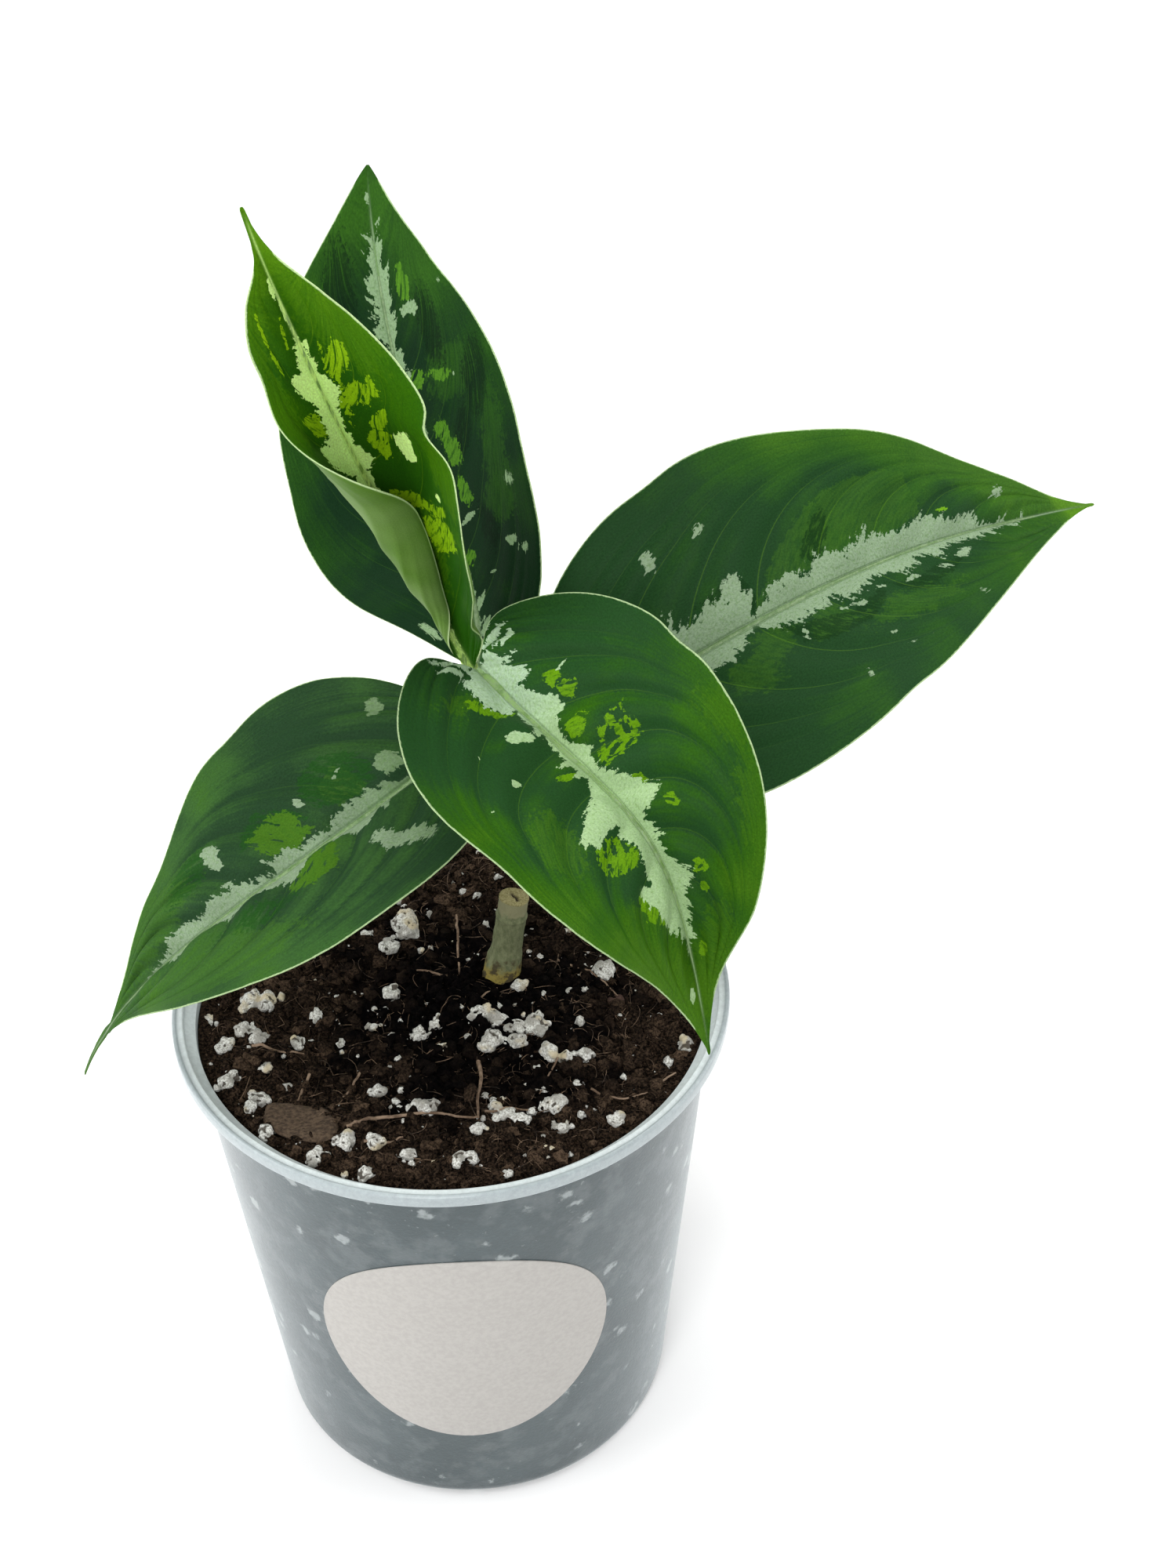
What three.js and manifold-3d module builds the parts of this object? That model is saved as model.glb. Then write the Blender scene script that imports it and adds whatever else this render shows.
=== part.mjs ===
// A potted aroid house plant: five patterned leaves on one short cane, in a filled nursery pot.
// Millimetres, +Z up. The origin is the middle of the pot's base. -Y is the front.

import * as THREE from 'three';
import { mergeVertices } from 'three/addons/utils/BufferGeometryUtils.js';
import Module from 'manifold-3d';

const wasm = await Module();
wasm.setup();

// Gap kept between pieces that touch.
const CLEARANCE = 0.3;

// Pot
const POT_HEIGHT = 116.4;
const RIM_RADIUS = 60;
const RIM_WIDTH = 2.5;
const RIM_SKIRT_HEIGHT = 3;
const WALL_TOP_RADIUS = 56.5;
const WALL_BASE_RADIUS = 45.4;
const WALL_THICKNESS = 1;
const BASE_THICKNESS = 1.4;
const BASE_EDGE_RADIUS = 3.5;
const BASE_EDGE_STEPS = 3;
const BASE_CORNER = 2;
const POT_SIDES = 60;
const DRAIN_HOLE_COUNT = 8;
const DRAIN_HOLE_RADIUS = 4;
const DRAIN_RING_RADIUS = 32;
const DRAIN_HOLE_SIDES = 16;

// Round paper label on the front of the pot wall
const LABEL_RADIUS = 32.5;
const LABEL_THICKNESS = 0.6;
const LABEL_HEIGHT = 58;
const LABEL_AZIMUTH = -3;
const LABEL_ROWS = 14;
const LABEL_COLUMNS = 12;

// Soil
const SOIL_LEVEL = 112;
const SOIL_RINGS = 7;
const SOIL_SIDES = 48;
const SOIL_RELIEF = 0.7;
const SOIL_CORNER = 2.5;

// Cane, from its buried end to its top
const CANE_PATH = [[28, 37, 84], [25, 36, 112], [18, 34, 138], [11, 32, 167]];
const CANE_BASE_RADIUS = 3.5;
const CANE_TOP_RADIUS = 2.9;
const CANE_SCAR_COUNT = 9;
const CANE_SCAR_HEIGHT = 0.3;

// Cut stub of the mother cane
const STUB_PATH = [[9, 9.4, 94], [11.7, 9.8, 112], [13.4, 10.2, 122], [15, 10.5, 132]];
const STUB_BASE_RADIUS = 4;
const STUB_TOP_RADIUS = 3.3;
// Where along the path the stub narrows, and over how much of it
const STUB_SHOULDER = 0.5;
const STUB_SHOULDER_SPAN = 0.35;

// Leaves
const BLADE_THICKNESS = 0.8;
const BLADE_ROWS = 18;
const BLADE_COLUMNS = 10;
const ROLLED_BLADE_COLUMNS = 16;
const PETIOLE_RADIUS = 1.7;
const RIB_TIP_RADIUS = 0.45;
const RIB_END = 0.86;
const RIB_STATIONS = [0.02, 0.15, 0.3, 0.45, 0.6, 0.75, RIB_END];
// Depth of the rib's centre under the blade, as a share of its radius
const RIB_DEPTH = 0.55;
const SHEATH_WALL = 1.5;
const STALK_STEPS = 18;
const STALK_SIDES = 6;
const CANE_SIDES = 12;
const CANE_STEPS = 36;
const STUB_STEPS = 10;

// Each pair below is [left, right], looking from the stalk to the tip with the upper face up.
// rib: control points of the midrib's Bezier curve. side: azimuth and elevation, in degrees, of the
// blade's right-hand side, and how far the blade twists from base to tip. fullness and taper shape
// the outline's base and tip, and lobe is how far its lobes reach back, as a share of the length.
// tip: from and to which share of the length the outline draws in to its drip tip, and to how much
// of its width. dips: shallow bays of the margin, as [side, place, span, depth] in shares.
// wave: height in mm, count and phase of the margin's waves out of the blade.
// fold: degrees that the blade rises at the rib and at the margin. sheath: heights on the cane.
const LEAVES = [
  {
    name: 'leaf_front',
    rib: [[10, 20, 186], [38.5, -44.5, 189], [42.5, -35, 192.5], [49.5, -46, 135.5]],
    side: { azimuth: 223, elevation: -10, twist: -29 },
    halfWidth: [33, 38],
    fullness: [0.56, 0.68],
    taper: 1.22,
    lobe: 0.045,
    tip: { from: [0.76, 0.9], to: [0.94, 1], keep: [0.62, 1] },
    dips: [[1, 0.46, 0.06, 0.04], [0, 0.34, 0.05, 0.03]],
    wave: { height: 1, count: 2.6, phase: [0.1, 0.45] },
    foldAtRib: [25, 23],
    foldAtMargin: [48, 45],
    sheath: [160.5, 166],
    stalk: [[10.5, 27.5, 165], [9.3, 22.5, 176]],
  },
  {
    name: 'leaf_right',
    rib: [[37.5, 31, 164.5], [94, 37, 197.5], [110, 44.5, 194.5], [152, 68, 185]],
    side: { azimuth: -72, elevation: -35, twist: 7 },
    halfWidth: [38, 37.5],
    fullness: [0.46, 0.36],
    taper: 1.24,
    lobe: 0.055,
    tip: { from: [0.84, 0.88], to: [0.96, 1], keep: [0.72, 0.85] },
    dips: [[0, 0.22, 0.04, 0.02], [1, 0.42, 0.05, 0.02]],
    wave: { height: 0.9, count: 3.2, phase: [0.3, 0] },
    foldAtRib: [16, 16],
    foldAtMargin: [14, 13],
    sheath: [138, 146],
    stalk: [[20, 33.5, 144], [28, 31.5, 154]],
  },
  {
    name: 'leaf_back',
    rib: [[11.5, 38.5, 172], [14.5, 51, 200], [-6, 72.5, 206], [-4.5, 102.5, 260.5]],
    side: { azimuth: -64, elevation: -40, twist: -9 },
    halfWidth: [35.5, 35.5],
    fullness: [0.92, 0.82],
    taper: 0.9,
    lobe: 0.015,
    tip: { from: [0.85, 0.85], to: [0.97, 0.97], keep: [0.85, 0.85] },
    dips: [[1, 0.86, 0.03, 0.05], [0, 0.6, 0.06, 0.02]],
    wave: { height: 1, count: 2.4, phase: [0.2, 0.7] },
    foldAtRib: [15, 14],
    foldAtMargin: [13, 13],
    sheath: [153.5, 160],
    stalk: [[13, 36.2, 156.5], [12.6, 40, 165]],
  },
  {
    name: 'leaf_left',
    rib: [[5, 16, 169], [-40, -16.5, 156.5], [-64, -16.5, 146.5], [-78.5, -10.5, 110]],
    side: { azimuth: 109, elevation: 4, twist: -3 },
    halfWidth: [35, 37],
    fullness: [0.68, 0.46],
    taper: 1.9,
    lobe: 0.035,
    tip: { from: [0.55, 0.6], to: [0.95, 0.86], keep: [0.25, 0.24] },
    dips: [[1, 0.28, 0.05, 0.02], [0, 0.46, 0.06, 0.02]],
    wave: { height: 0.9, count: 2.8, phase: [0.6, 0.2] },
    foldAtRib: [17, 17],
    foldAtMargin: [13, 12],
    sheath: [146.5, 153],
    stalk: [[12, 29, 151], [7, 21, 161]],
  },
  {
    name: 'leaf_new',
    rib: [[9.5, 32, 176.5], [-6, 44, 209.5], [-18, 24, 250.5], [-27, 26, 286]],
    side: { azimuth: 0, elevation: 33, twist: -11 },
    halfWidth: [22.5, 31.5],
    fullness: [1.44, 1.06],
    taper: 1.56,
    lobe: 0,
    tip: { from: [0.85, 0.84], to: [0.92, 0.94], keep: [0.4, 0.7] },
    dips: [[1, 0.585, 0.035, 0.15], [0, 0.74, 0.05, 0.16]],
    wave: { height: 0.7, count: 3.4, phase: [0.5, 0.15] },
    foldAtRib: [22, 31],
    foldAtMargin: [32, 32],
    roll: { turn: [203, 67], middle: 0.59, span: 0.51, start: 0.16 },
    sheath: null,
    stalk: [[11, 32, 167.5], [10.2, 32, 172]],
  },
];
const NOTCH_WIDTH = 0.2;
const NOTCH_FADE = 6;

// Large perlite lumps that show, as [x, y, radius] on the soil
const LARGE_LUMPS = [
  [-9.5, 25, 3.6], [-13, 19, 2.2], [-17.5, 24.5, 1.5], [-43.5, 5, 2.6], [-40, 4, 2.3], [-52, 2, 1.4],
  [-49, -7.5, 1.9], [-44.5, -3.5, 2.1], [-42, -6.5, 2], [-13, 5, 2.1], [-7.5, -8, 2], [-3.5, -6, 1.7],
  [-2.5, -13, 1.6], [-29.5, -1.5, 1.6], [-33.5, -8.5, 1.7], [-48, -19.5, 2.1], [-41.5, -23, 2.1],
  [-43.5, -26.5, 1.6], [-40, -16, 1.5], [-17, -25, 1.7], [-40, -34, 2], [-30, -42, 2],
  [-24, -39, 2.5], [-17.5, -40, 2], [-11.5, -43, 1.6], [-20, -48, 1.7], [-7.5, -31, 2.5],
  [-1.5, -48, 1.7], [1.5, -46.5, 1.7], [3.5, -39, 1.7], [12, -37, 1.6], [7, -32, 1.8], [9.5, -35, 1.8],
  [19.5, -33, 2.3], [20.5, -38, 1.7], [31.5, -39, 1.8], [48.5, -18, 1.9], [44.5, -22, 1.3],
  [27, -19.5, 2], [23, -19.5, 1.9], [19, -19, 2.2], [12.5, -14.5, 2.1], [14, -10, 2.3],
  [18, -9.5, 2.8], [7.5, -13.5, 2.5], [9, -7, 2.4], [5.5, -6, 1.9], [15, 4.5, 1.7], [33.5, 7, 2.4],
];
// Small lumps, drawn at random in the free places between the others and inside the wall
const SMALL_LUMP_COUNT = 16;
const SMALL_LUMP_RADIUS = [0.9, 1.5];
const LUMP_SPACING = 1.5;
const LUMP_EDGE = 4;
const LUMP_SEED = 7;
// A lump's flattening, its uneven radius, and how far its centre lies above the soil, in radii
const LUMP_WIDTH = [0.8, 1.1];
const LUMP_THICKNESS = 0.75;
const LUMP_KNOBS = [0.85, 1.15];
const LUMP_RISE = 0.25;
// Lumps above this radius get a finer ball.
const FINE_LUMP_RADIUS = 2.7;

// Flat bark chip that lies half sunk in the soil
const CHIP_CENTRE = [-32.5, -31.5];
const CHIP_HALF_LENGTH = 8;
const CHIP_HALF_WIDTH = 5.5;
const CHIP_HALF_HEIGHT = 1.2;
const CHIP_TURN = -20;

const MATERIALS = {
  pot: { color: 0xb9c2c6, roughness: 0.45 },
  label: { color: 0xe9e4d8, roughness: 0.8 },
  soil: { color: 0x2b211b, roughness: 0.95 },
  cane: { color: 0x6f8a52, roughness: 0.6 },
  stub: { color: 0xa39b72, roughness: 0.8 },
  leaf: { color: 0x2c5230, roughness: 0.4 },
  young: { color: 0x5d8a3c, roughness: 0.4 },
};

const radians = THREE.MathUtils.degToRad;
const smooth = (value) => THREE.MathUtils.smoothstep(value, 0, 1);
const between = (range, share) => THREE.MathUtils.lerp(range[0], range[1], share);
const vector = (point) => new THREE.Vector3(...point);

// Closed solids

function signedVolume(positions, indices) {
  const a = new THREE.Vector3();
  const b = new THREE.Vector3();
  const c = new THREE.Vector3();
  let volume = 0;
  for (let i = 0; i < indices.length; i += 3) {
    a.fromArray(positions, indices[i] * 3);
    b.fromArray(positions, indices[i + 1] * 3);
    c.fromArray(positions, indices[i + 2] * 3);
    volume += a.dot(b.cross(c)) / 6;
  }
  return volume;
}

// A solid from any closed geometry, with its faces turned outwards.
function solidFrom(geometry) {
  const bare = geometry.clone();
  bare.deleteAttribute('normal');
  bare.deleteAttribute('uv');
  const merged = mergeVertices(bare, 1e-4);
  const positions = merged.attributes.position.array;
  const triangles = [];
  const index = merged.index.array;
  for (let i = 0; i < index.length; i += 3) {
    const [a, b, c] = [index[i], index[i + 1], index[i + 2]];
    if (a !== b && b !== c && c !== a) triangles.push(a, b, c);
  }
  if (signedVolume(positions, triangles) < 0) triangles.reverse();
  return new wasm.Manifold(new wasm.Mesh({
    numProp: 3,
    vertProperties: new Float32Array(positions),
    triVerts: new Uint32Array(triangles),
  }));
}

function geometryFrom(solid) {
  const mesh = solid.getMesh();
  const geometry = new THREE.BufferGeometry();
  geometry.setAttribute('position', new THREE.BufferAttribute(new Float32Array(mesh.vertProperties), 3));
  geometry.setIndex(new THREE.BufferAttribute(new Uint32Array(mesh.triVerts), 1));
  return geometry;
}

function geometryOf(points, triangles) {
  const geometry = new THREE.BufferGeometry();
  geometry.setAttribute('position', new THREE.Float32BufferAttribute(points.flatMap((p) => p.toArray()), 3));
  geometry.setIndex(triangles);
  return geometry;
}

function joined(solids) {
  return solids.reduce((whole, solid) => whole.add(solid));
}

// The largest body of a solid, without loose scraps.
function mainBody(solid) {
  const bodies = solid.decompose();
  return bodies.reduce((best, body) => (body.volume() > best.volume() ? body : best));
}

function named(name, solid, look) {
  const material = new THREE.MeshStandardMaterial({ metalness: 0, ...MATERIALS[look] });
  const mesh = new THREE.Mesh(geometryFrom(solid), material);
  mesh.name = name;
  return mesh;
}

// A round tube with closed ends along a curve. radiusAt gives its radius from 0 to 1 along it.
function tube(curve, radiusAt, steps, sides) {
  const frames = curve.computeFrenetFrames(steps, false);
  const points = [];
  const triangles = [];
  for (let i = 0; i <= steps; i += 1) {
    const centre = curve.getPointAt(i / steps);
    for (let j = 0; j < sides; j += 1) {
      const angle = (2 * Math.PI * j) / sides;
      const radius = radiusAt(i / steps);
      points.push(centre.clone()
        .addScaledVector(frames.normals[i], radius * Math.cos(angle))
        .addScaledVector(frames.binormals[i], radius * Math.sin(angle)));
    }
  }
  for (let i = 0; i < steps; i += 1) {
    for (let j = 0; j < sides; j += 1) {
      const a = i * sides + j;
      const b = i * sides + ((j + 1) % sides);
      triangles.push(a, b, a + sides, b, b + sides, a + sides);
    }
  }
  const first = points.push(curve.getPointAt(0)) - 1;
  const last = points.push(curve.getPointAt(1)) - 1;
  for (let j = 0; j < sides; j += 1) {
    const next = (j + 1) % sides;
    triangles.push(first, next, j);
    triangles.push(last, steps * sides + j, steps * sides + next);
  }
  return solidFrom(geometryOf(points, triangles));
}

function lathe(profile, sides) {
  const geometry = new THREE.LatheGeometry(profile, sides);
  geometry.rotateX(Math.PI / 2);
  return geometry;
}

// Pot

function wallRadiusAt(height) {
  return WALL_BASE_RADIUS + (WALL_TOP_RADIUS - WALL_BASE_RADIUS) * (height / POT_HEIGHT);
}

function pot() {
  const profile = new THREE.Path();
  const skirt = POT_HEIGHT - RIM_SKIRT_HEIGHT;
  profile.moveTo(0, 0);
  profile.lineTo(WALL_BASE_RADIUS - BASE_EDGE_RADIUS, 0);
  profile.quadraticCurveTo(WALL_BASE_RADIUS, 0, wallRadiusAt(BASE_EDGE_RADIUS), BASE_EDGE_RADIUS);
  profile.lineTo(wallRadiusAt(skirt), skirt);
  profile.lineTo(RIM_RADIUS, skirt);
  profile.lineTo(RIM_RADIUS, POT_HEIGHT);
  profile.lineTo(RIM_RADIUS - RIM_WIDTH, POT_HEIGHT);
  profile.lineTo(wallRadiusAt(skirt) - WALL_THICKNESS, skirt);
  profile.lineTo(wallRadiusAt(BASE_THICKNESS) - WALL_THICKNESS - BASE_CORNER, BASE_THICKNESS);
  profile.lineTo(0, BASE_THICKNESS);
  const outline = profile.getPoints(BASE_EDGE_STEPS);
  let solid = solidFrom(lathe(outline, POT_SIDES));
  for (let i = 0; i < DRAIN_HOLE_COUNT; i += 1) {
    const angle = (2 * Math.PI * i) / DRAIN_HOLE_COUNT;
    const hole = new THREE.CylinderGeometry(
      DRAIN_HOLE_RADIUS,
      DRAIN_HOLE_RADIUS,
      4 * BASE_THICKNESS,
      DRAIN_HOLE_SIDES,
    );
    hole.rotateX(Math.PI / 2);
    hole.translate(DRAIN_RING_RADIUS * Math.cos(angle), DRAIN_RING_RADIUS * Math.sin(angle), 0);
    solid = solid.subtract(solidFrom(hole));
  }
  return solid;
}

// A closed sheet of even thickness from rows of points. The first and last rows are single points.
function thickSheet(rows, thickness) {
  const points = rows.flat();
  const starts = [];
  let total = 0;
  for (const row of rows) {
    starts.push(total);
    total += row.length;
  }
  const faces = [];
  for (let i = 0; i + 1 < rows.length; i += 1) {
    const count = Math.max(rows[i].length, rows[i + 1].length);
    for (let j = 0; j + 1 < count; j += 1) {
      const near = rows[i].length > 1;
      const far = rows[i + 1].length > 1;
      const a = starts[i] + (near ? j : 0);
      const b = starts[i] + (near ? j + 1 : 0);
      const c = starts[i + 1] + (far ? j : 0);
      const d = starts[i + 1] + (far ? j + 1 : 0);
      if (near) faces.push(a, b, c);
      if (far) faces.push(b, d, c);
    }
  }
  const sheet = geometryOf(points, faces);
  sheet.computeVertexNormals();
  const normals = sheet.attributes.normal;
  const upper = [];
  const lower = [];
  points.forEach((point, i) => {
    const offset = new THREE.Vector3().fromBufferAttribute(normals, i).multiplyScalar(thickness / 2);
    upper.push(point.clone().add(offset));
    lower.push(point.clone().sub(offset));
  });
  const triangles = [...faces];
  for (let i = 0; i < faces.length; i += 3) {
    triangles.push(faces[i] + total, faces[i + 2] + total, faces[i + 1] + total);
  }
  const middle = starts.slice(1, -1);
  const lefts = middle;
  const rights = middle.map((start, i) => start + rows[i + 1].length - 1).reverse();
  const edge = [starts[0], ...lefts, starts[rows.length - 1], ...rights];
  edge.forEach((a, i) => {
    const b = edge[(i + 1) % edge.length];
    triangles.push(a, b, a + total, b, b + total, a + total);
  });
  return solidFrom(geometryOf([...upper, ...lower], triangles));
}

function label() {
  const rows = [];
  for (let i = 0; i <= LABEL_ROWS; i += 1) {
    const turn = (Math.PI * i) / LABEL_ROWS;
    const height = LABEL_HEIGHT - LABEL_RADIUS * Math.cos(turn);
    const reach = LABEL_RADIUS * Math.sin(turn);
    const radius = wallRadiusAt(height) + CLEARANCE + LABEL_THICKNESS / 2;
    const row = [];
    const count = i === 0 || i === LABEL_ROWS ? 0 : LABEL_COLUMNS;
    for (let j = 0; j <= count; j += 1) {
      const along = count === 0 ? 0 : reach * (2 * (j / count) - 1);
      const angle = radians(LABEL_AZIMUTH) + along / wallRadiusAt(LABEL_HEIGHT);
      row.push(new THREE.Vector3(radius * Math.sin(angle), -radius * Math.cos(angle), height));
    }
    rows.push(row);
  }
  return thickSheet(rows, LABEL_THICKNESS);
}

// Soil

function randomFrom(seed) {
  let state = seed;
  return () => {
    state = (state * 1664525 + 1013904223) % 4294967296;
    return state / 4294967296;
  };
}

// Height of the soil's surface above its level, a sum of a few slow waves.
function soilRelief(x, y) {
  return SOIL_RELIEF * (Math.sin(x / 6.1 + 0.7) * Math.cos(y / 7.3)
    + 0.6 * Math.sin((x + y) / 4.3 + 1.9) + 0.5 * Math.cos((x - 1.4 * y) / 3.4));
}

function soilRadiusAt(height) {
  return wallRadiusAt(height) - WALL_THICKNESS - CLEARANCE;
}

function soilMass() {
  const bottom = BASE_THICKNESS + CLEARANCE;
  const edge = soilRadiusAt(SOIL_LEVEL);
  const profile = [
    new THREE.Vector2(0, bottom),
    new THREE.Vector2(soilRadiusAt(bottom) - SOIL_CORNER, bottom),
  ];
  for (let i = SOIL_RINGS; i >= 0; i -= 1) {
    profile.push(new THREE.Vector2((edge * i) / SOIL_RINGS, SOIL_LEVEL));
  }
  const geometry = lathe(profile, SOIL_SIDES);
  const position = geometry.attributes.position;
  for (let i = 0; i < position.count; i += 1) {
    const inside = Math.hypot(position.getX(i), position.getY(i)) < edge - CLEARANCE;
    if (inside && position.getZ(i) > bottom + CLEARANCE) {
      position.setZ(i, SOIL_LEVEL + soilRelief(position.getX(i), position.getY(i)));
    }
  }
  return solidFrom(geometry);
}

// One knobbly perlite lump, sunk well into the soil.
function lump(x, y, radius, random) {
  const geometry = mergeVertices(bareIcosahedron(radius > FINE_LUMP_RADIUS ? 1 : 0), 1e-4);
  const position = geometry.attributes.position;
  const stretch = new THREE.Vector3(1, between(LUMP_WIDTH, random()), LUMP_THICKNESS);
  const turn = Math.PI * random();
  const height = SOIL_LEVEL + soilRelief(x, y) + LUMP_RISE * radius;
  for (let i = 0; i < position.count; i += 1) {
    const point = new THREE.Vector3().fromBufferAttribute(position, i);
    point.multiplyScalar(radius * between(LUMP_KNOBS, random())).multiply(stretch);
    point.applyAxisAngle(new THREE.Vector3(0, 0, 1), turn);
    position.setXYZ(i, point.x + x, point.y + y, point.z + height);
  }
  return solidFrom(geometry);
}

function bareIcosahedron(detail) {
  const geometry = new THREE.IcosahedronGeometry(1, detail);
  geometry.deleteAttribute('normal');
  geometry.deleteAttribute('uv');
  return geometry;
}

function perlite() {
  const random = randomFrom(LUMP_SEED);
  const placed = LARGE_LUMPS.map((lumpPlace) => [...lumpPlace]);
  const reach = soilRadiusAt(SOIL_LEVEL) - LUMP_EDGE;
  let small = 0;
  while (small < SMALL_LUMP_COUNT) {
    const angle = 2 * Math.PI * random();
    const distance = reach * Math.sqrt(random());
    const radius = between(SMALL_LUMP_RADIUS, random());
    const [x, y] = [distance * Math.cos(angle), distance * Math.sin(angle)];
    const free = placed.every(([otherX, otherY, otherRadius]) => (
      Math.hypot(x - otherX, y - otherY) > radius + otherRadius + LUMP_SPACING
    ));
    if (free) {
      placed.push([x, y, radius]);
      small += 1;
    }
  }
  return placed.map(([x, y, radius]) => lump(x, y, radius, random));
}

function barkChip() {
  const geometry = bareIcosahedron(1);
  geometry.scale(CHIP_HALF_LENGTH, CHIP_HALF_WIDTH, CHIP_HALF_HEIGHT);
  geometry.rotateZ(radians(CHIP_TURN));
  geometry.translate(...CHIP_CENTRE, SOIL_LEVEL + soilRelief(...CHIP_CENTRE) + CHIP_HALF_HEIGHT / 2);
  return solidFrom(geometry);
}

function soil(cane, stub) {
  const bed = joined([soilMass(), barkChip(), ...perlite()]);
  return mainBody(bed.subtract(cane).subtract(stub));
}

// Cane and stub

function caneRadiusAt(share) {
  const ring = Math.max(0, Math.cos(2 * Math.PI * CANE_SCAR_COUNT * share)) ** 6;
  return between([CANE_BASE_RADIUS, CANE_TOP_RADIUS], share) + CANE_SCAR_HEIGHT * ring;
}

function stubRadiusAt(share) {
  const narrowed = smooth((share - STUB_SHOULDER) / STUB_SHOULDER_SPAN + 0.5);
  return between([STUB_BASE_RADIUS, STUB_TOP_RADIUS], narrowed);
}

function pathTube(path, radiusAt, steps, growth) {
  const curve = new THREE.CatmullRomCurve3(path.map(vector));
  return tube(curve, (share) => radiusAt(share) + growth, steps, CANE_SIDES);
}

// The path's tube, grown by the clearance at its sides and its lower end.
function socketFor(path, radiusAt, steps) {
  const [low, next] = path.map(vector);
  const lower = low.clone().addScaledVector(next.clone().sub(low).normalize(), -CLEARANCE);
  return pathTube([lower.toArray(), ...path.slice(1)], radiusAt, steps, CLEARANCE);
}

// Leaves

function ribCurve(leaf) {
  return new THREE.CubicBezierCurve3(...leaf.rib.map(vector));
}

// Place and directions on the midrib. Below 0 the rib goes on straight, under the lobes.
function ribFrame(leaf, share) {
  const curve = ribCurve(leaf);
  const held = THREE.MathUtils.clamp(share, 0, 1);
  const ahead = curve.getTangent(held);
  const place = curve.getPoint(held);
  if (share < 0) {
    const step = vector(leaf.rib[1]).sub(vector(leaf.rib[0])).multiplyScalar(3);
    place.addScaledVector(step, share);
  }
  const { azimuth, elevation, twist } = leaf.side;
  const level = Math.cos(radians(elevation));
  const right = new THREE.Vector3(
    level * Math.cos(radians(azimuth)),
    level * Math.sin(radians(azimuth)),
    Math.sin(radians(elevation)),
  );
  right.addScaledVector(ahead, -right.dot(ahead)).normalize();
  right.applyAxisAngle(ahead, -radians(twist * held));
  return { place, right, up: right.clone().cross(ahead) };
}

// Share of its width that the outline keeps where it draws in to the tip and in its bays.
function marginScaleAt(leaf, side, along) {
  const { from, to, keep } = leaf.tip;
  const drawn = smooth((along - from[side]) / (to[side] - from[side]));
  let scale = between([1, keep[side]], drawn);
  for (const [dipSide, place, span, depth] of leaf.dips) {
    if (dipSide === side) scale *= 1 - depth * Math.exp(-(((along - place) / span) ** 2));
  }
  return scale;
}

function halfWidthAt(leaf, side, along) {
  const widest = leaf.fullness[side] / (leaf.fullness[side] + leaf.taper);
  return leaf.halfWidth[side]
    * marginScaleAt(leaf, side, along)
    * (along / widest) ** leaf.fullness[side]
    * ((1 - along) / (1 - widest)) ** leaf.taper;
}

// How far the margin's wave lifts the blade there. It dies out at the rib and at both ends.
function waveAt(leaf, side, along, outward) {
  const { height, count, phase } = leaf.wave;
  const wave = Math.sin(2 * Math.PI * (count * along + phase[side]));
  return height * wave * outward ** 2 * 4 * along * (1 - along);
}

// Extra turn, in degrees, of a rolled leaf's half: full near its base, gone towards the tip.
function rollAt(leaf, side, share) {
  if (!leaf.roll) return 0;
  const { turn, middle, span, start } = leaf.roll;
  const open = smooth((share - middle) / span + 0.5);
  return turn[side] * (1 - open) * smooth(share / start);
}

// A point of the blade: along runs from the back of the lobes to the tip, across from -1 to 1.
function bladePoint(leaf, along, across) {
  const side = across < 0 ? 0 : 1;
  const outward = Math.abs(across);
  const halfWidth = halfWidthAt(leaf, side, along);
  const notch = NOTCH_WIDTH * (leaf.halfWidth[0] + leaf.halfWidth[1]) / 2;
  const filled = leaf.lobe * Math.exp(-((outward * halfWidth / notch) ** 2)) * (1 - along) ** NOTCH_FADE;
  const share = -leaf.lobe + along * (1 + leaf.lobe) + filled;
  const { place, right, up } = ribFrame(leaf, share);
  const foldStart = radians(leaf.foldAtRib[side]);
  const foldEnd = radians(leaf.foldAtMargin[side] + rollAt(leaf, side, THREE.MathUtils.clamp(share, 0, 1)));
  const turn = foldEnd - foldStart || 1e-6;
  const angle = foldStart + turn * outward;
  const reach = (halfWidth * (Math.sin(angle) - Math.sin(foldStart))) / turn;
  const rise = (halfWidth * (Math.cos(foldStart) - Math.cos(angle))) / turn;
  const lift = rise + waveAt(leaf, side, along, outward);
  return place.addScaledVector(right, side === 0 ? -reach : reach).addScaledVector(up, lift);
}

function blade(leaf) {
  const columns = leaf.roll ? ROLLED_BLADE_COLUMNS : BLADE_COLUMNS;
  const rows = [];
  for (let i = 0; i <= BLADE_ROWS; i += 1) {
    const along = (1 - Math.cos((Math.PI * i) / BLADE_ROWS)) / 2;
    if (i === 0 || i === BLADE_ROWS) {
      rows.push([bladePoint(leaf, along, 0)]);
    } else {
      const row = [];
      for (let j = 0; j <= columns; j += 1) row.push(bladePoint(leaf, along, (2 * j) / columns - 1));
      rows.push(row);
    }
  }
  return thickSheet(rows, BLADE_THICKNESS);
}

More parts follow.
